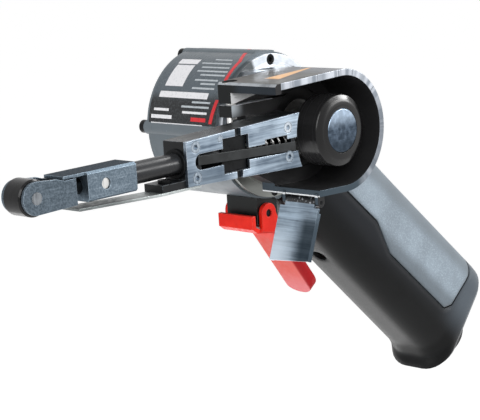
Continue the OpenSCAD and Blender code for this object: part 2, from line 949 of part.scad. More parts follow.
// The housing's side view, with the front edge of its back wall
module guard_outline() {
    floor_z = -guard_top_z(guard_bottom);
    polygon(concat(
        guard_arc(guard_r),
        [
            [guard_bottom, floor_z], [guard_bottom, floor_z + guard_wall + 1],
            [guard_top, back_corner_z], [guard_top, guard_top_z(guard_top) - lip_edge],
            [guard_top - lip_edge, guard_top_z(guard_top - lip_edge)]
        ]
    ));
}

// The side view of the space inside the rim wall, which is open at the front
module guard_hollow() {
    front = guard_top + 5;
    polygon(concat(
        guard_arc(guard_inner_r),
        [[front, -guard_top_z(front, guard_inner_r)], [front, guard_top_z(front, guard_inner_r)]]
    ));
}

module belt_housing() {
    lip_z = guard_top_z(guard_top);
    color(black)
        difference() {
            union() {
                difference() {
                    slab(-guard_far, guard_near)
                        guard_outline();
                    slab(back_face, guard_near + over)
                        guard_hollow();
                }
                box(
                    [guard_top - front_bead, back_face - eps, lip_z - front_bead_t],
                    [guard_top, guard_near, lip_z - lip_edge - 0.1]
                );
                for (side = [-1, 1])
                    slab(
                        deflector_mid + side * (lug_out - lug_t / 2) - lug_t / 2,
                        deflector_mid + side * (lug_out - lug_t / 2) + lug_t / 2
                    ) {
                        translate([hinge_x, hinge_z])
                            circle(eye_r);
                        translate([hinge_x - eye_r, hinge_z])
                            square([2 * eye_r, -hinge_z - guard_inner_r - 0.6]);
                    }
            }
            bar_y(nose_r + run_gap, -guard_far - over, back_face + over);
            box(
                [0, -guard_far - over, split_z - split_gap / 2],
                [guard_top + over, back_face, split_z + split_gap / 2]
            );
            bar_z(pinch_r + 0.1, pinch_end - over, pinch_seat + over, pinch_x, pinch_y);
            bar_z(screw_head_r + 0.2, pinch_seat, lip_z + over, pinch_x, pinch_y);
            box(
                [pinch_x - screw_head_r - 0.9, -guard_far - over, pinch_end - 0.6],
                [guard_top + over, back_face, split_z - ear_t]
            );
            for (z = foot_screw_z) {
                bar_y(foot_screw_r + 0.1, -guard_far - over, back_face + over, foot_screw_x, z);
                bar_y(foot_head_r + 0.2, -guard_far - over, -guard_far + foot_head_h + 0.4, foot_screw_x, z);
            }
            bar_y(
                hinge_pin_r + seat_gap, deflector_mid - deflector_half, deflector_mid + deflector_half,
                hinge_x, hinge_z
            );
        }
}

module pinch_screw() {
    color(steel)
        difference() {
            union() {
                bar_z(screw_head_r, pinch_seat, pinch_seat + screw_head_h, pinch_x, pinch_y);
                bar_z(pinch_r, pinch_end, pinch_seat + eps, pinch_x, pinch_y);
            }
            translate([pinch_x, pinch_y, pinch_seat + screw_head_h * 0.4])
                cylinder(r = screw_head_r * 0.58, h = screw_head_h, $fn = 6);
        }
}

// The holder's side view, hollowed at its rear end round the pulley
module holder_outline() {
    difference() {
        polygon([
            [holder_rear - 4, holder_half_h(holder_rear - 4)], [holder_front, holder_half_h(holder_front)],
            [holder_front, -holder_half_h(holder_front)], [holder_rear - 4, -holder_half_h(holder_rear - 4)]
        ]);
        circle(holder_hollow_r, $fn = 128);
    }
}

// Screw places on the cover: two at the front end and two at the rear
cover_screw_places = [
    for (x = [holder_front - 4.5, holder_hollow_r + 4.3], side = [-1, 1]) [x, side * cover_screw_h / 2]
];
small_screw_place = [slider_front + 1.6, holder_half_h(slider_front) - 1.9];

module arm_holder() {
    color(black)
        difference() {
            union() {
                slab(-holder_near, cover_in)
                    holder_outline();
                slab(back_face, -holder_near + eps)
                    difference() {
                        translate([holder_rear - 2, -foot_half_h])
                            square([foot_front - holder_rear + 2, 2 * foot_half_h]);
                        circle(holder_hollow_r, $fn = 128);
                    }
                box(
                    [holder_front - eps, -platen_w / 2, tongue_low],
                    [holder_front + tongue_reach, platen_w / 2, tongue_low + tongue_h]
                );
            }
            box(
                [chamber_rear, chamber_far, -slider_h / 2 - side_gap],
                [chamber_front, holder_near, slider_h / 2 + side_gap]
            );
            box(
                [spring_seat, chamber_far, -spring_chamber_h / 2],
                [chamber_rear + over, holder_near, spring_chamber_h / 2]
            );
            bar_x(bush_r + seat_gap, chamber_front - over, holder_front + bush_flange_t + over);
            for (place = cover_screw_places)
                bar_y(
                    cover_screw_r + seat_gap, cover_in - cover_screw_depth - 0.2, holder_near,
                    place[0], place[1]
                );
            bar_y(
                small_screw_r + seat_gap, cover_in - 2.2, holder_near,
                small_screw_place[0], small_screw_place[1]
            );
            bar_z(platen_screw_r + seat_gap, tongue_low - over, tongue_low + tongue_h + over, platen_screw_x);
            for (z = foot_screw_z)
                bar_y(foot_screw_r + seat_gap, back_face - over, back_face + 7, foot_screw_x, z);
        }
}

module holder_screws() {
    color(steel)
        for (z = foot_screw_z)
            difference() {
                union() {
                    bar_y(foot_head_r, -guard_far + 0.4, -guard_far + 0.4 + foot_head_h, foot_screw_x, z);
                    bar_y(foot_screw_r, -guard_far + foot_head_h, back_face + 6.6, foot_screw_x, z);
                }
                translate([foot_screw_x, -guard_far, z])
                    rotate([-90, 0, 0])
                        cylinder(r = foot_head_r * 0.58, h = foot_head_h * 0.7, $fn = 6);
            }
}

// The cover's side view: the holder's outline with a long slot, a window, a notch and a cross gap
module cover_outline() {
    difference() {
        holder_outline();
        translate([slot_end - slot_h / 2, 0])
            circle(slot_h / 2);
        translate([cross_rear, -slot_h / 2])
            square([slot_end - slot_h / 2 - cross_rear, slot_h]);
        polygon([
            [0, rear_slot_low], [cross_front, -slot_h / 2], [cross_front, rear_slot_top], [0, rear_slot_top]
        ]);
        translate([notch_rear, 0])
            square([notch_len, notch_top]);
        translate([slider_rear - 0.4, -slider_h / 2 - 0.3])
            square([slider_len + 0.9, slider_h + 0.6]);
        translate([cross_rear, -holder_rear_h])
            square([cross_front - cross_rear, 2 * holder_rear_h]);
    }
}

module cover_plate(x0, x1) {
    difference() {
        slab(cover_in, holder_near)
            intersection() {
                cover_outline();
                translate([x0, -holder_rear_h])
                    square([x1 - x0, 2 * holder_rear_h]);
            }
        for (place = cover_screw_places)
            sunk_head_y(
                cover_screw_r + seat_gap, cover_head_r + seat_gap, cover_in - eps, holder_near + eps,
                place[0], place[1]
            );
        sunk_head_y(
            small_screw_r + seat_gap, small_head_r + seat_gap, cover_in - eps, holder_near + eps,
            small_screw_place[0], small_screw_place[1]
        );
    }
}

module cover_front() {
    color(bright)
        cover_plate(cross_front - eps, holder_front + over);
}

module cover_rear() {
    color(bright)
        cover_plate(0, cross_rear + eps);
}

module cover_screws() {
    socket_r = 0.9;
    color(steel)
        for (place = cover_screw_places)
            difference() {
                union() {
                    sunk_head_y(
                        cover_screw_r, cover_head_r, cover_in, holder_near - 0.05, place[0], place[1]
                    );
                    bar_y(cover_screw_r, cover_in - cover_screw_depth, cover_in + eps, place[0], place[1]);
                }
                translate([place[0], holder_near - 0.8, place[1]])
                    rotate([-90, 0, 0])
                        cylinder(r = socket_r, h = 2, $fn = 6);
            }
    color(steel)
        translate([small_screw_place[0], 0, small_screw_place[1]]) {
            sunk_head_y(small_screw_r, small_head_r, cover_in, holder_near - 0.05, 0, 0);
            bar_y(small_screw_r, cover_in - 2, cover_in + eps);
        }
}

// A thin strip behind the slot, from the holder's rear wall to its front wall
module slot_strip() {
    half = [0, strip_half_h];
    color(steel)
        slab(cover_in, cover_in + strip_t)
            polygon([strip_rear - half, strip_front - half, strip_front + half, strip_rear + half]);
}

module rod_bush() {
    color(bright)
        difference() {
            union() {
                bar_x(bush_r, chamber_front, holder_front + eps);
                bar_x(bush_flange_r, holder_front, holder_front + bush_flange_t);
            }
            bar_x(rod_r + run_gap, chamber_front - over, holder_front + bush_flange_t + over);
        }
}

// The strip lies flat under the holder's tongue, then rises towards the tip as the belt does
module platen_strip() {
    bend = holder_front + tongue_reach + 1;
    color(steel)
        difference() {
            slab(-platen_w / 2, platen_w / 2)
                polygon([
                    [platen_rear, platen_top], [bend, platen_top], [platen_front, platen_top + platen_rise],
                    [platen_front, platen_top + platen_rise - platen_t], [bend, platen_top - platen_t],
                    [platen_rear, platen_top - platen_t]
                ]);
            bar_z(platen_screw_r + seat_gap, platen_top - 2, platen_top + over, platen_screw_x);
        }
}

module platen_screw() {
    head_z = tongue_low + tongue_h;
    color(steel)
        difference() {
            union() {
                bar_z(platen_head_r, head_z, head_z + platen_head_h, platen_screw_x);
                bar_z(platen_screw_r, platen_top - platen_t + 0.05, head_z + eps, platen_screw_x);
            }
            translate([platen_screw_x, 0, head_z + platen_head_h * 0.3])
                cylinder(r = platen_head_r * 0.5, h = platen_head_h, $fn = 6);
        }
}

module deflector_pin() {
    color(steel)
        bar_y(
            hinge_pin_r, deflector_mid - lug_out, deflector_mid + lug_out, hinge_x, hinge_z
        );
}

module tension_spring() {
    color(steel)
        translate([spring_seat + 0.05, 0, 0])
            rotate([0, 90, 0])
                coil(spring_r, spring_wire_r, spring_turns, slider_rear - spring_seat - 0.1);
}

module arm_rod() {
    color(black) {
        difference() {
            bar_x(rod_r, slider_rear + 0.2, head_socket - 0.1);
            bar_y(head_pin_r + seat_gap, -head_w, head_w, head_pin_x);
        }
        bar_x(rod_tail_r, rod_tail_end, slider_rear + 0.3);
    }
}

module tension_slider() {
    near = cover_in - side_gap;
    color(black)
        difference() {
            box([slider_rear, slider_far, -slider_h / 2], [slider_front, near, slider_h / 2]);
            bar_x(rod_r + seat_gap, slider_rear + 0.2, slider_front + over);
            bar_x(rod_tail_r + seat_gap, slider_rear - over, slider_front);
            bar_z(1 + seat_gap, -slider_h, slider_h, slider_rear + slider_len / 2);
        }
}

// Two short pins, above and below the rod, lock the slider to it
module slider_pin() {
    color(steel)
        for (side = [-1, 1])
            scale([1, 1, side])
                bar_z(1, rod_r + 0.05, slider_h / 2, slider_rear + slider_len / 2);
}

module arm_head() {
    bevel = 0.8;
    half_h = head_h / 2;
    half_w = head_w / 2;
    color(blued)
        difference() {
            union() {
                translate([head_rear, 0, 0])
                    rotate([90, 0, 90])
                        linear_extrude(head_front - head_rear)
                            polygon([
                                [-half_w + bevel, -half_h], [half_w - bevel, -half_h],
                                [half_w, -half_h + bevel],
                                [half_w, half_h - bevel], [half_w - bevel, half_h], [-half_w + bevel, half_h],
                                [-half_w, half_h - bevel], [-half_w, -half_h + bevel]
                            ]);
                box(
                    [head_front - eps, -half_w + bevel, half_h - head_roof],
                    [head_roof_front, half_w - bevel, half_h]
                );
            }
            bar_x(rod_r + seat_gap, head_rear - over, head_socket);
            bar_x(stem_root_r + seat_gap, head_socket - eps, head_front + over);
            bar_y(head_pin_r + seat_gap, -head_w, head_w, head_pin_x);
        }
}

module head_pin() {
    color(bright)
        bar_y(head_pin_r, -head_w / 2 + 0.5, head_w / 2 - 0.5, head_pin_x);
}

// One cheek of the yoke, with a round nose about the roller axis
module cheek_outline() {
    translate([reach, 0])
        circle(cheek_r);
    polygon([
        [yoke_rear, -head_h / 2], [reach, -cheek_r], [reach, cheek_r], [head_roof_front + 3, yoke_top + 0.9],
        [head_roof_front + 0.4, yoke_top], [yoke_rear, yoke_top]
    ]);
}

module idler_yoke() {
    color(blued)
        difference() {
            union() {
                for (side = [-1, 1])
                    slab(min(side * cheek_in, side * head_w / 2), max(side * cheek_in, side * head_w / 2))
                        cheek_outline();
                box([yoke_rear, -head_w / 2, -head_h / 2], [yoke_base, head_w / 2, yoke_top]);
                bar_x(stem_root_r, yoke_rear - stem_root_len, yoke_rear + 1);
            }
            bar_y(idler_pin_r + seat_gap, -head_w, head_w, reach);
        }
}

module idler_pin() {
    color(bright)
        bar_y(idler_pin_r, -head_w / 2 - 0.1, head_w / 2 + 0.1, reach);
}

module idler_roller() {
    edge = 0.5;
    half = roller_w / 2;
    color(black)
        translate([reach, 0, 0])
            turned_y()
                polygon([
                    [idler_bush_r + seat_gap, -half], [roller_r - edge, -half], [roller_r, -half + edge],
                    [roller_r, half - edge], [roller_r - edge, half], [idler_bush_r + seat_gap, half]
                ]);
}

module idler_bush() {
    color(bronze)
        translate([reach, 0, 0])
            turned_y()
                translate([idler_pin_r + run_gap, -roller_w / 2])
                    square([idler_bush_r - idler_pin_r - run_gap, roller_w]);
}

// A bent plate with a rolled eye at its top and a short flange down each side
module deflector() {
    front = eye_r;
    back = eye_r - deflector_t;
    flange = 2;
    low = deflector_h + deflector_slant;
    color(steel)
        translate([hinge_x, deflector_mid, hinge_z])
            rotate([0, -deflector_lean, 0])
                difference() {
                    union() {
                        bar_y(eye_r, -eye_half, eye_half);
                        box([back, -eye_half, -eye_r - 1], [front, eye_half, 0]);
                        intersection() {
                            union() {
                                box([back, -deflector_half, -low], [front, deflector_half, -eye_r - 0.7]);
                                for (y = [-deflector_half, deflector_half - deflector_t])
                                    box([front - flange, y, -low], [front, y + deflector_t, -eye_r - 2.4]);
                            }
                            rotate([90, 0, 90])
                                translate([0, 0, -flange - 1])
                                    linear_extrude(2 * flange + 2)
                                        polygon([
                                            [-deflector_w, -low], [-deflector_w, 0], [deflector_w, 0],
                                            [deflector_w, -deflector_h + deflector_slant / 2],
                                            [deflector_half, -deflector_h], [-deflector_half, -low]
                                        ]);
                        }
                    }
                    bar_y(hinge_pin_r + run_gap, -deflector_w, deflector_w);
                }
}

// Side view of the trigger's front bar and of the plate that runs back from it under the bracket
module trigger_front() {
    polygon([
        [bar_front, bar_top], [bar_front, bar_low], knee, tongue_top, tongue_top + trigger_t * tongue_in,
        [knee[0] - 0.6, knee[1] + trigger_t], [bar_front - trigger_t, bar_low + 0.7],
        [bar_front - trigger_t, bar_top]
    ]);
}

// Side view of each ear, from the pin down to the plate
module trigger_ear() {
    front = pivot[0] + ear_r;
    translate(pivot)
        circle(ear_r);
    polygon([
        [front, pivot[1]], [front, knee[1] + 0.3], [tongue_top[0], tongue_top[1] + 0.4],
        tongue_top + trigger_t * tongue_in, [pivot[0] - ear_r, pivot[1]]
    ]);
}

// The front view of the tongue, which ends in a round tip
module tongue_outline(inset = 0) {
    half = tongue_w / 2 - inset;
    end = tongue_len - inset;
    tip = tip_round - inset;
    translate([-2, -half])
        square([end - tip + 2, 2 * half]);
    translate([0, -half + tip])
        square([end, 2 * half - 2 * tip]);
    for (side = [-1, 1])
        translate([end - tip, side * (half - tip)])
            circle(tip);
}

// The tongue's cross section: a flat face with rounded edges
module tongue_section() {
    half = tongue_w / 2;
    translate([-half, -tongue_d])
        square([tongue_w, tongue_d - tongue_edge]);
    translate([-half + tongue_edge, -tongue_edge - eps])
        square([tongue_w - 2 * tongue_edge, tongue_edge + eps]);
    for (side = [-1, 1])
        translate([side * (half - tongue_edge), -tongue_edge])
            circle(tongue_edge);
}

module trigger_tongue() {
    translate([tongue_top[0], -grip_y, tongue_top[1]])
        rotate([0, 180 - tongue_angle, 0])
            difference() {
                intersection() {
                    translate([-1, 0, 0])
                        rotate([90, 0, 90])
                            linear_extrude(tongue_len + 2)
                                tongue_section();
                    translate([0, 0, -tongue_d])
                        linear_extrude(tongue_d + 1)
                            tongue_outline();
                }
                translate([0, 0, -tongue_d - 1])
                    linear_extrude(tongue_d + 1 - trigger_t)
                        tongue_outline(trigger_t);
            }
}

module trigger() {
    half = trigger_w / 2;
    color(red)
        difference() {
            union() {
                slab(-grip_y - bar_half_w, -grip_y + bar_half_w)
                    trigger_front();
                for (side = [-1, 1])
                    slab(
                        -grip_y + side * (half - trigger_t / 2) - trigger_t / 2,
                        -grip_y + side * (half - trigger_t / 2) + trigger_t / 2
                    )
                        trigger_ear();
                trigger_tongue();
            }
            bar_y(
                trigger_pin_r + run_gap, -grip_y - trigger_w, -grip_y + trigger_w, pivot[0], pivot[1]
            );
        }
}

motor_housing();
motor_end_cap();
end_cap_bolts();
cylinder_liner();
rear_end_plate();
front_end_plate();
rear_bearing();
front_bearing();
front_flange();
flange_screws();
shoulder_plug();
grip_sleeve();
grip_inlay();
inlet_cap();
inlet_bushing();
trigger_bracket();
trigger_pin();
valve_bush();
valve_spring();
rotor();
rotor_vanes();
drive_pulley();
pulley_nut();
belt_housing();
pinch_screw();
arm_holder();
holder_screws();
cover_front();
cover_rear();
cover_screws();
slot_strip();
rod_bush();
platen_strip();
platen_screw();
deflector_pin();
tension_spring();
arm_rod();
tension_slider();
slider_pin();
arm_head();
head_pin();
idler_yoke();
idler_pin();
idler_roller();
idler_bush();
deflector();
trigger();
valve_stem();
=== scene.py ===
"""Looks of the pneumatic power file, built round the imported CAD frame. Metres, in the row frame."""

import math

import bpy
from mathutils import Matrix, Vector


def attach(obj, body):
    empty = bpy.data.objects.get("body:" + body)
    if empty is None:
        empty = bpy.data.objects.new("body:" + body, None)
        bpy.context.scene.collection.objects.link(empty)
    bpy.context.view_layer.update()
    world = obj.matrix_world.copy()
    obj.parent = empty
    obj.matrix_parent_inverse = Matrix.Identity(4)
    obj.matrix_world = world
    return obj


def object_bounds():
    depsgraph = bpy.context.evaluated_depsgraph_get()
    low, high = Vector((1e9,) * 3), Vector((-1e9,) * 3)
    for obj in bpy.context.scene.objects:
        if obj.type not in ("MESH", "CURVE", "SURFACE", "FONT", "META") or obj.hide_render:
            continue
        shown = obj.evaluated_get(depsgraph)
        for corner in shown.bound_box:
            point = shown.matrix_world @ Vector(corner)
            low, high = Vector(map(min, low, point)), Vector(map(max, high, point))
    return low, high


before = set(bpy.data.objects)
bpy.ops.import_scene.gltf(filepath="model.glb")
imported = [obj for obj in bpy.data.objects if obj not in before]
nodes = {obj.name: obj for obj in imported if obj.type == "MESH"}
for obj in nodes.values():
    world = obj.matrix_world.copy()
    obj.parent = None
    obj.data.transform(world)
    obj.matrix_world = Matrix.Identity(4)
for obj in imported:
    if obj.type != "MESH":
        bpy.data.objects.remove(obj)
cad_low, cad_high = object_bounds()

MM = 0.001
MM_PER_METRE = 1000.0
DEGREES = 180 / math.pi
X_AXIS = (1.0, 0.0, 0.0)
Y_AXIS = (0.0, 1.0, 0.0)
Z_AXIS = (0.0, 0.0, 1.0)
WHITE = (1.0, 1.0, 1.0, 1.0)


# Shader helpers

def srgb(red, green, blue):
    """A colour given in 0 to 255 screen values, as the linear values a shader takes."""
    def linear(value):
        value = value / 255
        return value / 12.92 if value <= 0.04045 else ((value + 0.055) / 1.055) ** 2.4
    return linear(red), linear(green), linear(blue), 1.0


class Shader:
    """A procedural material: one Principled surface, and short ways to make the nodes that feed it."""

    def __init__(self, name, color, metallic=0.0, roughness=0.5, specular=0.5):
        self.material = bpy.data.materials.new(name)
        self.material.use_nodes = True
        self.tree = self.material.node_tree
        self.surface = self.tree.nodes["Principled BSDF"]
        self.base = color
        self.put(self.surface, "Base Color", color)
        self.put(self.surface, "Metallic", metallic)
        self.put(self.surface, "Roughness", roughness)
        self.put(self.surface, "Specular IOR Level", specular)
        coords = self.add("ShaderNodeTexCoord")
        scaled = self.add("ShaderNodeVectorMath", operation="SCALE")
        self.put(scaled, 0, coords.outputs["Object"])
        self.put(scaled, "Scale", MM_PER_METRE)
        self.place = scaled.outputs[0]

    def add(self, kind, **settings):
        node = self.tree.nodes.new(kind)
        for key, value in settings.items():
            setattr(node, key, value)
        return node

    def put(self, node, socket, value):
        """Links a socket's value, or sets a plain one."""
        if isinstance(value, bpy.types.NodeSocket):
            self.tree.links.new(value, node.inputs[socket])
        else:
            node.inputs[socket].default_value = value

    def math(self, operation, *values, clamp=False):
        node = self.add("ShaderNodeMath", operation=operation, use_clamp=clamp)
        for i, value in enumerate(values):
            self.put(node, i, value)
        return node.outputs[0]

    def times(self, first, *others):
        """The product of two or more values."""
        for other in others:
            first = self.math("MULTIPLY", first, other)
        return first

    def line(self, value, slope, start):
        """A straight line: the value times the slope, plus the start."""
        return self.math("ADD", self.times(value, slope), start)

    def axes(self):
        """The place on the part along X, Y and Z, in millimetres."""
        node = self.add("ShaderNodeSeparateXYZ")
        self.put(node, 0, self.place)
        return node.outputs

    def turn(self):
        """The angle round the pulley axis in degrees, from the arm's side upwards."""
        x, _, z = self.axes()
        return self.times(self.math("ARCTAN2", z, x), DEGREES)

    def stretched(self, scale):
        """The place in millimetres, scaled by its own factor along each axis."""
        node = self.add("ShaderNodeVectorMath", operation="MULTIPLY")
        self.put(node, 0, self.place)
        self.put(node, 1, scale)
        return node.outputs[0]

    def noise(self, scale, detail=3.0, roughness=0.55):
        """Noise from 0 to 1. The scale is in cycles per millimetre, one number or one for each axis."""
        if not isinstance(scale, tuple):
            scale = (scale, scale, scale)
        node = self.add("ShaderNodeTexNoise")
        self.put(node, "Vector", self.stretched(scale))
        self.put(node, "Scale", 1.0)
        self.put(node, "Detail", detail)
        self.put(node, "Roughness", roughness)
        return node.outputs["Fac"]

    def noise_along(self, value, scale):
        """The node of a noise that varies with one value only, in cycles per unit of it."""
        node = self.add("ShaderNodeTexNoise", noise_dimensions="1D")
        self.put(node, "W", self.times(value, scale))
        self.put(node, "Scale", 1.0)
        return node

    def ramp(self, value, low, high, start=0.0, end=1.0):
        """The value's way from low to high, as a smooth step from start to end."""
        node = self.add("ShaderNodeMapRange", interpolation_type="SMOOTHSTEP", clamp=True)
        for socket, number in zip(("Value", "From Min", "From Max", "To Min", "To Max"),
                                  (value, low, high, start, end)):
            self.put(node, socket, number)
        return node.outputs["Result"]

    def within(self, value, low, high, soft):
        """One between low and high, falling to nought over the soft distance outside."""
        rise = self.ramp(value, low - soft, low)
        fall = self.ramp(value, high, high + soft, 1.0, 0.0)
        return self.times(rise, fall)

    def mix(self, factor, first, second):
        node = self.add("ShaderNodeMix", data_type="RGBA")
        self.put(node, "Factor", factor)
        colors = [s for s in node.inputs if s.type == "RGBA"]
        for socket, value in zip(colors, (first, second)):
            if isinstance(value, bpy.types.NodeSocket):
                self.tree.links.new(value, socket)
            else:
                socket.default_value = value
        return [s for s in node.outputs if s.type == "RGBA"][0]

    def facing(self, axis):
        """How far the surface faces along one of the piece's own axes, from -1 to 1, at every pose."""
        node = self.add("ShaderNodeTexCoord")
        dot = self.add("ShaderNodeVectorMath", operation="DOT_PRODUCT")
        self.put(dot, 0, node.outputs["Normal"])
        self.put(dot, 1, axis)
        return dot.outputs["Value"]

    def edges(self, radius):
        """Rounded normals at the edges, and a mask that is one on them."""
        bevel = self.add("ShaderNodeBevel", samples=6)
        self.put(bevel, "Radius", radius * MM)
        flat = self.add("ShaderNodeNewGeometry")
        dot = self.add("ShaderNodeVectorMath", operation="DOT_PRODUCT")
        self.put(dot, 0, bevel.outputs[0])
        self.put(dot, 1, flat.outputs["True Normal"])
        return bevel.outputs[0], self.ramp(dot.outputs["Value"], 0.99, 0.85)

    def crease_shade(self, distance, low=0.35, high=0.8):
        """One in narrow gaps and corners, nought in the open: the mask for painted shade."""
        node = self.add("ShaderNodeAmbientOcclusion", samples=8)
        self.put(node, "Distance", distance * MM)
        return self.ramp(node.outputs["AO"], low, high, 1.0, 0.0)

    def bump(self, height, strength, distance, normal=None):
        node = self.add("ShaderNodeBump")
        self.put(node, "Height", height)
        self.put(node, "Strength", strength)
        self.put(node, "Distance", distance * MM)
        if normal is not None:
            self.put(node, "Normal", normal)
        return node.outputs[0]

    def color(self, value):
        self.base = value
        self.put(self.surface, "Base Color", value)

    def rough(self, value):
        self.put(self.surface, "Roughness", value)

    def normal(self, value):
        self.put(self.surface, "Normal", value)

    def metal(self, value):
        self.put(self.surface, "Metallic", value)

    def specular(self, value):
        self.put(self.surface, "Specular IOR Level", value)

    def on(self, *names):
        for name in names:
            dress(nodes[name], self.material)


def dress(piece, material):
    piece.data.materials.clear()
    piece.data.materials.append(material)


# Kinds of material

def enamel(name, color, roughness=0.34, edge=None, specular=0.45):
    """Paint: a fine peel, cloudy gloss, pale specks and, where asked for, worn edges."""
    s = Shader(name, color, roughness=roughness, specular=specular)
    cloud = s.noise(0.09)
    s.rough(s.ramp(cloud, 0.3, 0.7, roughness - 0.07, roughness + 0.09))
    rounded, edge_mask = s.edges(0.35)
    s.normal(s.bump(s.noise(1.6, 2.0), 0.08, 0.12, rounded))
    speck = s.ramp(s.noise(2.2, 1.0), 0.70, 0.78, 0.0, 0.35)
    pale = tuple(min(1.0, c * 2.6 + 0.012) for c in color[:3]) + (1.0,)
    tone = s.mix(speck, color, pale)
    if edge:
        wear = s.times(edge_mask, s.ramp(s.noise(0.55), 0.38, 0.62))
        tone = s.mix(wear, tone, edge)
    s.color(tone)
    return s


def brushed(name, color, dark, along, roughness, edge, streak=0.9):
    """Bright metal with fine lines along one axis, wide bands, clouds and pale edges."""
    s = Shader(name, color, metallic=1.0, roughness=roughness)
    fine = [1.1, 1.1, 1.1]
    fine[along] = 0.035
    wide = [0.32, 0.32, 0.32]
    wide[along] = 0.02
    lines = s.noise(tuple(fine), 4.0, 0.7)
    bands = s.noise(tuple(wide), 2.0)
    cloud = s.noise(0.11, 3.0)
    shade = s.times(s.ramp(lines, 0.3, 0.72), streak)
    shade = s.math("ADD", s.times(shade, 0.5), s.times(s.ramp(bands, 0.35, 0.65), 0.3))
    shade = s.math("ADD", shade, s.times(s.ramp(cloud, 0.35, 0.7), 0.3), clamp=True)
    tone = s.mix(shade, dark, color)
    rounded, edge_mask = s.edges(0.25)
    s.color(s.mix(edge_mask, tone, edge))
    s.rough(s.ramp(lines, 0.25, 0.75, roughness - 0.08, roughness + 0.12))
    s.normal(s.bump(lines, 0.22, 0.05, rounded))
    return s


def worn_steel(name, color, pale, roughness, metallic, scale):
    """Blued or oxided steel: blotches, scratches along X, bright edges, and painted shade, near black, in
    its corners.
    """
    s = Shader(name, color, metallic=metallic, roughness=roughness)
    blotch = s.ramp(s.noise(scale, 4.0, 0.65), 0.36, 0.68)
    scratch = s.ramp(s.noise((0.10, 1.4, 1.4), 3.0, 0.7), 0.50, 0.72)
    mark = s.math("ADD", s.times(blotch, 0.40), s.times(scratch, 0.35), clamp=True)
    rounded, edge_mask = s.edges(0.3)
    bright = tuple(min(1, c * 1.6) for c in pale[:3]) + (1.0,)
    tone = s.mix(mark, color, pale)
    tone = s.mix(s.times(edge_mask, 0.7), tone, bright)
    # Painted shade: near black in corners and gaps.
    s.color(s.mix(s.times(s.crease_shade(3.0, 0.3, 0.7), 0.75), tone, srgb(14, 15, 16)))
    s.rough(s.ramp(blotch, 0.0, 1.0, roughness - 0.07, roughness + 0.1))
    s.normal(s.bump(s.noise(2.0, 3.0), 0.16, 0.06, rounded))
    return s


def rubber(name, color, grain, depth, roughness, speck, specular, soften, rim):
    """Moulded rubber: a fine grain in bump and colour, rims in the given tone, which is a painted highlight
    when pale and painted shade when dark, and painted shade, black, in the gaps, over softened facets.
    """
    s = Shader(name, color, roughness=roughness, specular=specular)
    fine = s.noise(grain, 2.0, 0.6)
    cloud = s.noise(0.05, 2.0)
    pale = tuple(c * 1.9 + 0.004 for c in color[:3]) + (1.0,)
    deep = tuple(c * 0.72 for c in color[:3]) + (1.0,)
    tone = s.mix(s.ramp(cloud, 0.3, 0.7), deep, color)
    tone = s.mix(s.times(s.ramp(fine, 0.45, 0.72), speck), tone, pale)
    # The rim tone along the edges is painted: a highlight when pale, shade when dark. The black in the gaps
    # is painted shade.
    tone = s.mix(s.times(s.edges(0.5)[1], 0.6), tone, rim)
    s.color(s.mix(s.crease_shade(1.6), tone, srgb(7, 7, 8)))
    s.rough(s.ramp(fine, 0.3, 0.7, roughness - 0.06, roughness + 0.06))
    rounded = s.edges(soften)[0]
    s.normal(s.bump(fine, depth, 0.15, rounded))
    return s


def turned(name, color, dark, roughness, metallic=1.0, rings=2.2):
    """A turned surface: rings round the pulley axis or along a pin, and light stains."""
    s = Shader(name, color, metallic=metallic, roughness=roughness)
    x, y, z = s.axes()
    radius = s.math("SQRT", s.math("ADD", s.times(x, x), s.times(z, z)))
    ring = s.noise_along(s.math("ADD", radius, y), rings).outputs["Fac"]
    stain = s.ramp(s.noise(0.28, 4.0), 0.35, 0.68)
    shade = s.math("ADD", s.times(s.ramp(ring, 0.3, 0.7), 0.45), s.times(stain, 0.55), clamp=True)
    s.color(s.mix(shade, dark, color))
    s.rough(s.ramp(ring, 0.3, 0.7, roughness - 0.06, roughness + 0.1))
    s.normal(s.bump(ring, 0.2, 0.04, s.edges(0.2)[0]))
    return s


# Materials of the pieces. A named span holds the two places, in millimetres on the part,
# between which a mask runs from nought to one, or the two ends of a band inside which it is one.

# Belt housing: black inside, with a bare machined rim that has fine ticks and notches
RIM_FACE = (7.52, 7.56)
RIM_FRONT = (33.6, 33.3)
RIM_RADIUS = 22.0
ROUND_END = (6.0, 0.0)
TICKS_PER_MM = 0.22
NOTCH_PITCH = 13.5
NOTCH_WIDTH = 0.28
housing = enamel("housing_enamel", srgb(38, 38, 39), 0.36, specular=0.15)
hx, hy, hz = housing.axes()
rim = housing.times(housing.ramp(hy, *RIM_FACE), housing.ramp(hx, *RIM_FRONT))
round_end = housing.ramp(hx, *ROUND_END)
arc = housing.times(housing.math("ARCTAN2", hz, hx), RIM_RADIUS, round_end)
straight = housing.times(hx, housing.math("SUBTRACT", 1.0, round_end))
way = housing.math("ADD", arc, straight)
tick = housing.noise_along(way, TICKS_PER_MM)
housing.put(tick, "Detail", 1.0)
tick = housing.ramp(tick.outputs["Fac"], 0.36, 0.62)
rim_tone = housing.mix(tick, srgb(132, 139, 148), srgb(190, 195, 203))
notch = housing.within(housing.math("FLOORED_MODULO", way, NOTCH_PITCH), 0.0, NOTCH_WIDTH, 0.12)
rim_tone = housing.mix(housing.times(notch, 0.75), rim_tone, srgb(78, 82, 90))
# Painted shade: the rim darker on its right side and low down.
right_rim_shade = housing.times(housing.ramp(hx, -8.0, -18.0, 0.0, 0.75), housing.ramp(hz, 13.0, 5.0))
rim_tone = housing.mix(right_rim_shade, rim_tone, srgb(108, 114, 122))
low_rim_shade = housing.times(housing.ramp(hz, -6.0, -15.0), housing.ramp(hx, -14.0, -5.0, 0.25, 1.0))
rim_tone = housing.mix(low_rim_shade, rim_tone, srgb(58, 70, 79))

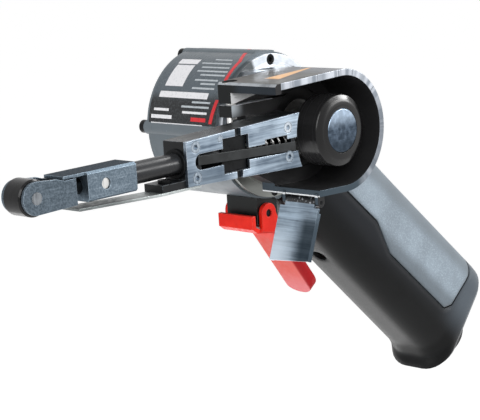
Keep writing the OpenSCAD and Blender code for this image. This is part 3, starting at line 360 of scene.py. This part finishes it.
# The housing's painted top, with an orange stripe that narrows to a point and is rubbed in places.
# Each edge of the stripe is a line, given as its slope and its Y over the pulley axis.
TOP_LEVEL = (20.0, 21.0)
STRIPE_FAR_EDGE = (0.04, -9.2)
STRIPE_NEAR_EDGE = (0.28, -7.4)
STRIPE_ENDS = (0.5, 24.0)
top = housing.ramp(housing.facing(Z_AXIS), 0.80, 0.95)
top = housing.times(top, housing.ramp(hz, *TOP_LEVEL))
past_far = housing.math("SUBTRACT", hy, housing.line(hx, *STRIPE_FAR_EDGE))
past_near = housing.math("SUBTRACT", housing.line(hx, *STRIPE_NEAR_EDGE), hy)
stripe = housing.times(housing.ramp(past_far, 0.0, 0.8), housing.ramp(past_near, 0.0, 0.8))
stripe = housing.times(stripe, housing.within(hx, *STRIPE_ENDS, 2.5))
rubbed = housing.ramp(housing.noise((0.05, 0.9, 0.5), 3.0), 0.26, 0.44, 0.45, 1.0)
top_tone = housing.mix(housing.ramp(hx, 16.0, 4.0), srgb(68, 67, 64), srgb(108, 110, 115))
top_tone = housing.mix(housing.times(stripe, rubbed), top_tone, srgb(222, 172, 120))
skin = housing.mix(top, housing.base, top_tone)

# The collar's front face: a painted reflection, near white, above the split, and painted light below it that
# fades into the dark
COLLAR_FACE = (-14.7, -14.5)
SPLIT_LEVEL = (13.3, 13.4)
REFLECTION_SLOPE = 0.17
open_side = housing.ramp(housing.facing(Y_AXIS), 0.85, 0.97)
collar = housing.times(housing.within(hy, *COLLAR_FACE, 0.05), open_side)
reflection_top = housing.math("ADD", hz, housing.times(hx, REFLECTION_SLOPE))
collar_reflection = housing.times(housing.ramp(reflection_top, 19.65, 19.85), housing.ramp(hz, *SPLIT_LEVEL))
collar_reflection = housing.times(collar, collar_reflection, housing.ramp(hx, 20.5, 22.0))
below_split = housing.ramp(hz, *reversed(SPLIT_LEVEL))
collar_light_fade = housing.times(housing.ramp(hx, 29.5, 36.5), housing.ramp(hz, 7.0, 12.8))
collar_light_fade = housing.times(collar, collar_light_fade, below_split)
skin = housing.mix(collar_light_fade, skin, srgb(196, 204, 210))
skin = housing.mix(collar_reflection, skin, srgb(250, 251, 252))
# A painted highlight on the faces inside the split.
split_highlight = housing.times(housing.within(hz, 13.0, 13.2, 0.05), housing.ramp(hx, 14.0, 15.0))
skin = housing.mix(split_highlight, skin, srgb(214, 218, 224))

# The lip: a painted highlight along its upper edge, broken up by noise, over a dark front
LIP_EDGE_X = (35.2, 35.5)
LIP_FRONT_X = (35.4, 35.6)
DIAGONAL = (0.707, 0.0, 0.707)
lip_highlight = housing.times(housing.ramp(housing.facing(DIAGONAL), 0.86, 0.96), housing.ramp(hx, *LIP_EDGE_X))
lip_highlight_noise = housing.ramp(housing.noise((0.3, 0.25, 0.3)), 0.3, 0.55, 0.55, 1.0)
skin = housing.mix(housing.times(lip_highlight, lip_highlight_noise), skin, srgb(166, 171, 176))
front = housing.ramp(housing.facing(X_AXIS), 0.9, 0.97)
lip_front = housing.times(front, housing.ramp(hx, *LIP_FRONT_X))
lip_tone = housing.mix(housing.ramp(hy, -15.0, -8.0), srgb(18, 20, 21), srgb(36, 43, 50))
skin = housing.mix(lip_front, skin, lip_tone)

# The end of the lower wall over the hinge: blue grey, a painted sheen, with a painted highlight along its
# lower edge
WALL_END_X = (15.7, 16.3)
WALL_HIGHLIGHT_Z = (-22.5, -21.9)
wall_end = housing.times(front, housing.within(hx, *WALL_END_X, 0.2), housing.ramp(hz, -17.0, -18.0))
wall_tone = housing.mix(housing.within(hz, *WALL_HIGHLIGHT_Z, 0.1), srgb(58, 69, 78), srgb(226, 229, 232))
skin = housing.mix(wall_end, skin, wall_tone)
housing.color(housing.mix(rim, skin, rim_tone))
housing.metal(housing.times(rim, 0.5))
housing.on("belt_housing")

# Motor casting with its end cap, the holder and the trigger's bracket
casting = enamel("motor_enamel", srgb(92, 101, 107), 0.42, specular=0.4)
casting.on("motor_housing", "motor_end_cap")
satin = enamel("holder_enamel", srgb(20, 22, 24), 0.30, edge=srgb(120, 128, 136), specular=0.2)
satin.on("arm_holder")
bracket = enamel("bracket_enamel", srgb(18, 21, 21), 0.40, edge=srgb(120, 128, 132), specular=0.2)
bracket.on("trigger_bracket")

# Front flange: pale, dark grey and not metallic in a sector towards the arm, darker towards its underside, a
# grey deck and a black nose
GREY_TURN = (24.0, 68.0)
GREY_Y = (-28.5, -28.7)
DECK_Z = (21.6, 22.9)
DECK_Y = (-28.6, -28.4)
NOSE_Y = (-15.7, -15.4)
flange = turned("flange_aluminium", srgb(214, 218, 223), srgb(176, 183, 191), 0.36)
flange_y, flange_z = flange.axes()[1:]
grey_sector = flange.times(flange.within(flange.turn(), *GREY_TURN, 4.0), flange.ramp(flange_y, *GREY_Y))
flange_tone = flange.mix(flange.ramp(flange_z, -6.0, -15.0), flange.base, srgb(124, 126, 123))
deck = flange.times(flange.within(flange_z, *DECK_Z, 0.1), flange.ramp(flange_y, *DECK_Y))
flange_tone = flange.mix(flange.times(deck, 0.8), flange_tone, srgb(96, 102, 108))
nose = flange.ramp(flange_y, *NOSE_Y)
flange_tone = flange.mix(grey_sector, flange_tone, srgb(72, 78, 82))
flange.color(flange.mix(nose, flange_tone, srgb(22, 22, 23)))
flange.metal(flange.math("SUBTRACT", 1.0, flange.math("MAXIMUM", grey_sector, nose)))
flange.on("front_flange")

# Cover plates: lines along the arm, with painted shade low down at both ends
COVER_FRONT_END = (56.0, 64.0)
COVER_REAR_END = (38.0, 30.0)
cover = brushed("cover_aluminium", srgb(179, 194, 208), srgb(80, 94, 110), 0, 0.34, srgb(204, 212, 220))
cover_x, _, cover_z = cover.axes()
ends = cover.math("MAXIMUM", cover.ramp(cover_x, *COVER_FRONT_END), cover.ramp(cover_x, *COVER_REAR_END))
end_shade = cover.times(ends, cover.ramp(cover_z, 2.0, -4.0, 0.0, 0.6))
cover.color(cover.mix(end_shade, cover.base, srgb(62, 76, 90)))
cover.on("cover_front", "cover_rear")

# Spark deflector: lines across, painted light towards its far lower corner, painted shade at its near lower
# corner and on its near side, and a flecked dark hinge
HINGE_Z = (-25.2, -24.9)
sheet = brushed("deflector_steel", srgb(164, 181, 197), srgb(66, 78, 90), 1, 0.40, srgb(170, 182, 194), 1.3)
sheet_y, sheet_z = sheet.axes()[1:]
far_corner_light = sheet.times(sheet.ramp(sheet_y, 3.0, -9.0), sheet.ramp(sheet_z, -30.0, -44.0))
near_corner_shade = sheet.times(sheet.ramp(sheet_y, -3.0, 3.5), sheet.ramp(sheet_z, -26.0, -34.0))
near_side_shade = sheet.ramp(sheet.facing(Y_AXIS), 0.7, 0.9, 0.0, 0.7)
sheet_tone = sheet.mix(sheet.times(far_corner_light, 0.85), sheet.base, srgb(200, 213, 225))
sheet_tone = sheet.mix(sheet.times(near_corner_shade, 0.9), sheet_tone, srgb(30, 40, 48))
sheet_tone = sheet.mix(near_side_shade, sheet_tone, srgb(66, 78, 88))
hinge = sheet.ramp(sheet_z, *HINGE_Z)
fleck = sheet.ramp(sheet.noise((0.5, 0.9, 0.9), 3.0), 0.56, 0.66)
hinge_tone = sheet.mix(fleck, srgb(27, 28, 30), srgb(170, 174, 180))
sheet.color(sheet.mix(hinge, sheet_tone, hinge_tone))
sheet.metal(sheet.math("SUBTRACT", 1.0, hinge))
sheet.on("deflector")

# Arm head: blued steel, with painted shade on its top
blued = worn_steel("blued_steel", srgb(88, 101, 112), srgb(144, 157, 168), 0.38, 0.85, 1.7)
head_top_shade = blued.ramp(blued.facing(Z_AXIS), 0.7, 0.95, 0.0, 0.75)
blued.color(blued.mix(head_top_shade, blued.base, srgb(18, 20, 22)))
blued.put(blued.surface, "Specular Tint", srgb(150, 156, 162))
blued.on("arm_head")

# Idler yoke: darker steel, with painted shade, nearly black, between its cheeks
CHEEK_Y = 3.4
yoke = worn_steel("yoke_steel", srgb(68, 79, 88), srgb(118, 130, 141), 0.42, 0.85, 1.7)
between_cheeks_shade = yoke.within(yoke.axes()[1], -CHEEK_Y, CHEEK_Y, 0.3)
yoke.color(yoke.mix(between_cheeks_shade, yoke.base, srgb(26, 29, 31)))
yoke.on("idler_yoke")

# Oxided small parts
oxide = worn_steel("black_oxide", srgb(21, 22, 23), srgb(31, 32, 34), 0.34, 0.0, 0.25)
oxide.specular(0.08)
oxide.on("tension_slider", "slider_pin", "rod_bush", "holder_screws", "end_cap_bolts", "platen_screw",
         "trigger_pin", "deflector_pin", "flange_screws")

# Roller, rod and drive pulley: black, with a gloss
gloss = turned("polished_black", srgb(22, 22, 24), srgb(12, 12, 13), 0.17, 0.0, 1.2)
gloss.specular(0.22)
gloss.on("idler_roller")
rod = enamel("rod_steel", srgb(42, 43, 45), 0.26, specular=0.2)
# Painted shade: darker on its underside.
rod_under_shade = rod.ramp(rod.axes()[2], 0.5, -2.0, 0.0, 0.8)
rod.color(rod.mix(rod_under_shade, rod.base, srgb(14, 14, 15)))
rod.on("arm_rod")
pulley = turned("pulley_black", srgb(26, 26, 27), srgb(22, 22, 23), 0.20, 0.0, 0.8)
# Painted light: the pulley's side lighter than its front.
pulley_side_light = pulley.ramp(pulley.facing(Y_AXIS), 0.45, 0.15)
pulley.color(pulley.mix(pulley_side_light, srgb(12, 12, 13), srgb(42, 42, 43)))
pulley.specular(0.3)
pulley.on("drive_pulley")

# Pulley nut: mottled steel, with painted light at its top and painted shade below
nut = worn_steel("nut_steel", srgb(52, 63, 76), srgb(98, 112, 128), 0.36, 1.0, 0.42)
nut_z = nut.axes()[2]
nut_tone = nut.mix(nut.ramp(nut_z, 0.5, 6.5, 0.0, 0.75), nut.base, srgb(176, 194, 214))
nut.color(nut.mix(nut.ramp(nut_z, -1.0, -6.5, 0.0, 0.7), nut_tone, srgb(38, 48, 58)))
nut.on("pulley_nut")

# Bright and dull steel; the cover screws have painted shade at their rims, and painted light makes the upper
# rear one palest
bright_steel = turned("bright_steel", srgb(230, 229, 226), srgb(192, 192, 191), 0.34)
bright_steel.on("pinch_screw", "head_pin", "rear_bearing", "front_bearing", "rotor", "valve_stem",
                "tension_spring", "valve_spring", "cylinder_liner", "rear_end_plate", "front_end_plate")
dull_steel = turned("dull_steel", srgb(136, 140, 144), srgb(92, 96, 100), 0.4)
dull_steel.on("idler_pin")
screw = turned("cover_screw_steel", srgb(190, 200, 209), srgb(118, 130, 142), 0.36)
screw_rim_shade = screw.edges(0.5)[1]
screw_x, _, screw_z = screw.axes()
upper_rear_light = screw.times(screw.ramp(screw_x, 45.0, 38.0, 0.0, 0.3), screw.ramp(screw_z, 0.0, 3.0))
screw_tone = screw.mix(upper_rear_light, screw.base, srgb(232, 238, 244))
screw.color(screw.mix(screw.times(screw_rim_shade, 0.8), screw_tone, srgb(52, 60, 68)))
screw.on("cover_screws")

# Platen strip, darker towards the roller, with painted light towards the pulley, and the strip behind the
# slot
strip = worn_steel("platen_strip_steel", srgb(112, 117, 117), srgb(166, 172, 172), 0.42, 0.8, 0.4)
strip_x = strip.axes()[0]
strip_tone = strip.mix(strip.ramp(strip_x, 100.0, 112.0, 0.0, 0.45), strip.base, srgb(84, 88, 90))
# Painted light: paler towards the pulley.
strip.color(strip.mix(strip.ramp(strip_x, 106.0, 92.0, 0.0, 0.5), strip_tone, srgb(196, 202, 202)))
strip.on("platen_strip")
dark_strip = worn_steel("slot_strip_steel", srgb(16, 19, 20), srgb(28, 33, 36), 0.4, 0.4, 0.3)
dark_strip.on("slot_strip")

# Plug, inlet cap and vanes, then the brass and bronze pieces
plug = enamel("plug_black", srgb(20, 21, 23), 0.3)
plug.on("shoulder_plug", "inlet_cap", "rotor_vanes")
brass = turned("inlet_brass", srgb(150, 134, 100), srgb(96, 82, 54), 0.36)
brass.on("inlet_bushing")
bronze = turned("plain_bronze", srgb(168, 132, 88), srgb(120, 90, 56), 0.4)
bronze.on("idler_bush", "valve_bush")

GRIP_LEAN_X = 0.758
GRIP_LEAN_Z = 0.652


def grip_axes(shader):
    """The place along the grip, from the pulley down, and across it, from front to back, in millimetres."""
    x, _, z = shader.axes()
    along = shader.math("ADD", shader.times(x, -GRIP_LEAN_X), shader.times(z, -GRIP_LEAN_Z))
    across = shader.math("ADD", shader.times(x, -GRIP_LEAN_Z), shader.times(z, GRIP_LEAN_X))
    return along, across


# Grip: black rubber, with painted light towards the back and a painted sheen at the heel; the inlay has a
# painted highlight along its middle and painted shade to both sides
# The sleeve's pale rim colour is a painted highlight along its edges.
sleeve = rubber("grip_rubber", srgb(11, 12, 13), 2.6, 0.18, 0.36, 0.25, 0.10, 4.0, srgb(96, 103, 110))
sleeve_along, sleeve_across = grip_axes(sleeve)
heel_sheen = sleeve.times(sleeve.ramp(sleeve_along, 130.0, 146.0), sleeve.ramp(sleeve_across, -18.0, 2.0))
sleeve_tone = sleeve.mix(sleeve.ramp(sleeve_across, -17.0, -3.0, 0.0, 0.7), sleeve.base, srgb(34, 37, 42))
sleeve_tone = sleeve.mix(heel_sheen, sleeve_tone, srgb(82, 89, 96))
sleeve.color(sleeve.mix(sleeve.crease_shade(1.6), sleeve_tone, srgb(5, 5, 6)))
sleeve.on("grip_sleeve")
# The inlay's dark rim colour is painted shade along its edges.
inlay = rubber("grip_grain", srgb(142, 155, 166), 2.2, 0.42, 0.50, 0.35, 0.4, 3.0, srgb(10, 11, 12))
inlay_across = grip_axes(inlay)[1]
middle_sheen = inlay.times(inlay.ramp(inlay_across, -6.0, 3.0), inlay.ramp(inlay_across, 7.0, 16.0, 1.0, 0.0))
inlay.color(inlay.mix(inlay.ramp(middle_sheen, 0.0, 1.0, 0.75, 0.0), inlay.base, srgb(76, 85, 92)))
inlay.on("grip_inlay")

# Trigger: red moulding, with a painted reflection down the tongue, paler at its end, and painted shade, deep
# red, along its near edge
red = Shader("trigger_red", srgb(222, 40, 30), roughness=0.36, specular=0.18)
red_y, red_z = red.axes()[1:]
red_cloud = red.ramp(red.noise(0.16, 3.0), 0.3, 0.7)
red_edge, red_wear = red.edges(0.6)
red_tone = red.mix(red_cloud, srgb(224, 32, 20), srgb(240, 44, 28))
# Painted reflection: paler down the tongue and at its end.
tongue = red.ramp(red_z, -42.0, -50.0)
red_tone = red.mix(red.times(tongue, 0.7), red_tone, srgb(206, 82, 68))
tongue_end = red.ramp(red_z, -60.0, -72.0)
red_tone = red.mix(red.times(tongue_end, 0.7), red_tone, srgb(224, 122, 128))
red_tone = red.mix(red.times(red_wear, 0.3), red_tone, srgb(246, 120, 108))
near_edge_shade = red.times(red.ramp(red_y, -34.6, -33.4), tongue)
red.color(red.mix(near_edge_shade, red_tone, srgb(160, 6, 16)))
red.rough(red.ramp(red.noise(0.6, 3.0), 0.3, 0.7, 0.30, 0.46))
red.normal(red.bump(red.noise(2.4, 2.0), 0.10, 0.08, red_edge))
red.on("trigger")


# Label on the motor's pad: a plain printed film with bars and two stripes.
# Places on it are an angle round the barrel in degrees and a Y in millimetres.

PAD_R = 29.0 * MM
FILM_LIFT = 0.05 * MM
PRINT_LIFT = 0.09 * MM
ARC_STEP = 3.0


def sheet_on_barrel(name, corners, lift, material):
    """A thin curved patch on the barrel between four corners."""
    (a0, y0), (a1, y1), (a2, y2), (a3, y3) = corners
    span = max(abs(a1 - a0), abs(a2 - a3))
    rows = max(2, int(span / ARC_STEP) + 1)
    radius = PAD_R + lift
    points, faces = [], []
    for i in range(rows + 1):
        t = i / rows
        left = (a0 + (a1 - a0) * t, y0 + (y1 - y0) * t)
        right = (a3 + (a2 - a3) * t, y3 + (y2 - y3) * t)
        for angle, y in (left, right):
            turn = math.radians(angle)
            points.append((radius * math.cos(turn), y * MM, radius * math.sin(turn)))
    for i in range(rows):
        faces.append((2 * i, 2 * i + 2, 2 * i + 3, 2 * i + 1))
    mesh = bpy.data.meshes.new(name)
    mesh.from_pydata(points, [], faces)
    for polygon in mesh.polygons:
        polygon.use_smooth = True
    piece = bpy.data.objects.new(name, mesh)
    bpy.context.scene.collection.objects.link(piece)
    dress(piece, material)
    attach(piece, "handle")


def bar(name, low, high, near, far, material):
    """A printed bar between two angles, from its near end to its far end."""
    sheet_on_barrel(name, ((low, far), (high, far), (high, near), (low, near)), PRINT_LIFT, material)


def ink(name, color, worn):
    s = Shader(name, color, roughness=0.38, specular=0.4)
    s.color(s.mix(s.ramp(s.noise(1.1, 3.0), 0.5, 0.8), color, worn))
    s.rough(s.ramp(s.noise(0.4), 0.3, 0.7, 0.32, 0.46))
    return s.material


# The film is near black low on the barrel, grey at its middle and darker again over the top
film = Shader("label_film", srgb(92, 101, 108), roughness=0.28, specular=0.3)
film_turn = film.turn()
film_tone = film.mix(film.ramp(film_turn, 23.0, 34.0), srgb(25, 27, 29), srgb(78, 87, 94))
film_tone = film.mix(film.ramp(film_turn, 70.0, 98.0), film_tone, srgb(54, 59, 63))
film_grain = film.ramp(film.noise(1.4, 2.0), 0.4, 0.75, 0.0, 0.12)
film.color(film.mix(film_grain, film_tone, srgb(140, 148, 154)))
film.rough(film.ramp(film.noise(0.12), 0.3, 0.7, 0.22, 0.34))
film.normal(film.bump(film.noise(0.9, 2.0), 0.06, 0.05))

white_ink = ink("white_ink", srgb(222, 222, 225), srgb(192, 196, 200))
grey_ink = ink("grey_ink", srgb(176, 183, 188), srgb(132, 140, 146))
red_ink = ink("red_ink", srgb(204, 38, 46), srgb(170, 30, 38))

FILM_LOW, FILM_HIGH = 7.0, 100.0
FILM_NEAR, FILM_FAR = -31.1, -67.6
film_corners = ((FILM_LOW, FILM_FAR), (FILM_HIGH, FILM_FAR), (FILM_HIGH, FILM_NEAR), (FILM_LOW, FILM_NEAR))
sheet_on_barrel("label_film", film_corners, FILM_LIFT, film.material)
bar("label_panel", 36.4, 57.2, -53.0, -62.7, white_ink)
bar("label_panel_head", 58.6, 64.6, -52.6, -63.2, white_ink)
bar("label_wide_bar", 26.9, 31.9, -37.6, -63.9, white_ink)
bar("label_line", 6.6, 7.3, -38.3, -66.3, white_ink)

# Thin rows: the angle of each one's middle, and its near and far ends
ROW_HALF = 0.75
LABEL_ROWS = (
    (65.2, -36.3, -45.2), (60.3, -34.8, -50.5), (55.6, -34.1, -48.7), (51.4, -33.4, -49.6),
    (47.6, -33.6, -46.6), (42.7, -35.7, -48.0), (39.4, -36.3, -44.1), (35.5, -35.7, -47.6),
    (24.2, -35.4, -45.2), (20.5, -35.7, -50.4),
)
for i, (row_mid, row_near, row_far) in enumerate(LABEL_ROWS):
    bar(f"label_row_{i + 1}", row_mid - ROW_HALF, row_mid + ROW_HALF, row_near, row_far, grey_ink)
bar("label_mark_1", 16.3, 18.3, -57.0, -65.2, white_ink)
bar("label_mark_2", 10.4, 13.2, -55.0, -66.4, white_ink)
bar("label_mark_3", 15.2, 17.0, -36.3, -49.5, white_ink)
bar("label_mark_4", 9.6, 12.6, -36.6, -44.5, red_ink)

# Two red stripes, each a run of straight lengths from one point to the next
STRIPE_WIDTH = 1.7
UPPER_STRIPE = ((99.0, -41.8), (80.0, -34.8), (64.0, -31.1), (43.0, -31.1))
LOWER_STRIPE = ((27.0, -31.3), (8.6, -33.3))
stripe_lengths = [*zip(UPPER_STRIPE, UPPER_STRIPE[1:]), *zip(LOWER_STRIPE, LOWER_STRIPE[1:])]
for i, ((a0, y0), (a1, y1)) in enumerate(stripe_lengths):
    corners = ((a0, y0 - STRIPE_WIDTH), (a1, y1 - STRIPE_WIDTH), (a1, y1), (a0, y0))
    sheet_on_barrel(f"label_stripe_{i + 1}", corners, PRINT_LIFT, red_ink)


# Floor, light and camera

def light(name, place, aim, size, power):
    """A soft box at a place, turned to its aim."""
    data = bpy.data.lights.new(name, "AREA")
    data.shape = "RECTANGLE"
    data.size, data.size_y = size
    data.energy = power
    lamp = bpy.data.objects.new(name, data)
    bpy.context.scene.collection.objects.link(lamp)
    lamp.location = place
    lamp.rotation_euler = (Vector(aim) - Vector(place)).to_track_quat("-Z", "Y").to_euler()


CENTRE = (0.02, -0.03, -0.02)
PULLEY = (0.0, 0.0, 0.0)
GRIP = (-0.08, -0.04, -0.10)
light("top_box", (0.10, 0.05, 1.00), CENTRE, (0.5, 0.5), 1.8)
light("back_box", (-0.80, 0.00, 0.80), CENTRE, (0.35, 0.35), 4.0)
light("right_box", (-0.82, 0.69, 0.29), PULLEY, (0.62, 0.17), 7.5)
light("camera_box", (0.85, 0.95, 0.60), CENTRE, (0.8, 0.8), 10.0)
light("front_box", (0.95, -0.15, -0.35), CENTRE, (0.5, 0.5), 3.0)
light("under_box", (-0.20, -0.53, -0.64), GRIP, (0.5, 0.4), 0.8)


def seen(tree):
    """One for rays from the camera and for rays that mirror or pass through."""
    light_path = tree.nodes.new("ShaderNodeLightPath")
    total = light_path.outputs["Is Camera Ray"]
    for ray in ("Is Glossy Ray", "Is Transmission Ray"):
        node = tree.nodes.new("ShaderNodeMath")
        node.operation = "MAXIMUM"
        tree.links.new(total, node.inputs[0])
        tree.links.new(light_path.outputs[ray], node.inputs[1])
        total = node.outputs[0]
    return total


# A wide pale floor below the part, which glows for the rays that see it
FLOOR_DROP = 0.60
FLOOR_HALF = 300.0
FLOOR_GREY = 0.80
FLOOR_GLOW = 0.60
floor_z = cad_low.z - FLOOR_DROP
floor_mesh = bpy.data.meshes.new("floor")
floor_mesh.from_pydata([(-FLOOR_HALF, -FLOOR_HALF, floor_z), (FLOOR_HALF, -FLOOR_HALF, floor_z),
                        (FLOOR_HALF, FLOOR_HALF, floor_z), (-FLOOR_HALF, FLOOR_HALF, floor_z)],
                       [], [(0, 1, 2, 3)])
floor = bpy.data.objects.new("floor", floor_mesh)
bpy.context.scene.collection.objects.link(floor)

floor_look = bpy.data.materials.new("pale_floor")
floor_look.use_nodes = True
floor_tree = floor_look.node_tree
floor_surface = floor_tree.nodes["Principled BSDF"]
floor_surface.inputs["Base Color"].default_value = (FLOOR_GREY, FLOOR_GREY, FLOOR_GREY, 1.0)
floor_surface.inputs["Roughness"].default_value = 0.9
floor_surface.inputs["Specular IOR Level"].default_value = 0.0
floor_surface.inputs["Emission Color"].default_value = WHITE
glow = floor_tree.nodes.new("ShaderNodeMath")
glow.operation = "MULTIPLY"
glow.inputs[1].default_value = FLOOR_GLOW
floor_tree.links.new(seen(floor_tree), glow.inputs[0])
floor_tree.links.new(glow.outputs[0], floor_surface.inputs["Emission Strength"])
dress(floor, floor_look)

# A white sky for the rays that see it, and a dimmer one for the light it gives
SKY_LIGHT = 0.50
world = bpy.data.worlds.new("studio")
bpy.context.scene.world = world
world.use_nodes = True
sky_tree = world.node_tree
background = sky_tree.nodes["Background"]
background.inputs["Color"].default_value = WHITE
sky_level = sky_tree.nodes.new("ShaderNodeMath")
sky_level.operation = "MULTIPLY_ADD"
sky_level.inputs[1].default_value = 1.0 - SKY_LIGHT
sky_level.inputs[2].default_value = SKY_LIGHT
sky_tree.links.new(seen(sky_tree), sky_level.inputs[0])
sky_tree.links.new(sky_level.outputs[0], background.inputs["Strength"])

# The camera, solved from the photograph
EYE = Vector((0.45330, 0.39452, 0.08853))
VIEW = Vector((-0.70135, -0.68664, -0.19139)).normalized()
ROUGH_UP = Vector((-0.18050, -0.08868, 0.97957))
LENS = 121.6
SENSOR_WIDTH = 36.0
NEAR_CLIP = 0.01
camera_side = VIEW.cross(ROUGH_UP).normalized()
camera_up = camera_side.cross(VIEW)
lens = bpy.data.cameras.new("photo_camera")
lens.lens = LENS
lens.sensor_width = SENSOR_WIDTH
lens.clip_start = NEAR_CLIP
camera = bpy.data.objects.new("photo_camera", lens)
bpy.context.scene.collection.objects.link(camera)
camera_turn = Matrix((camera_side, camera_up, -VIEW)).transposed()
camera.matrix_world = Matrix.Translation(EYE) @ camera_turn.to_4x4()
bpy.context.scene.camera = camera
bpy.context.scene.view_settings.view_transform = "Standard"
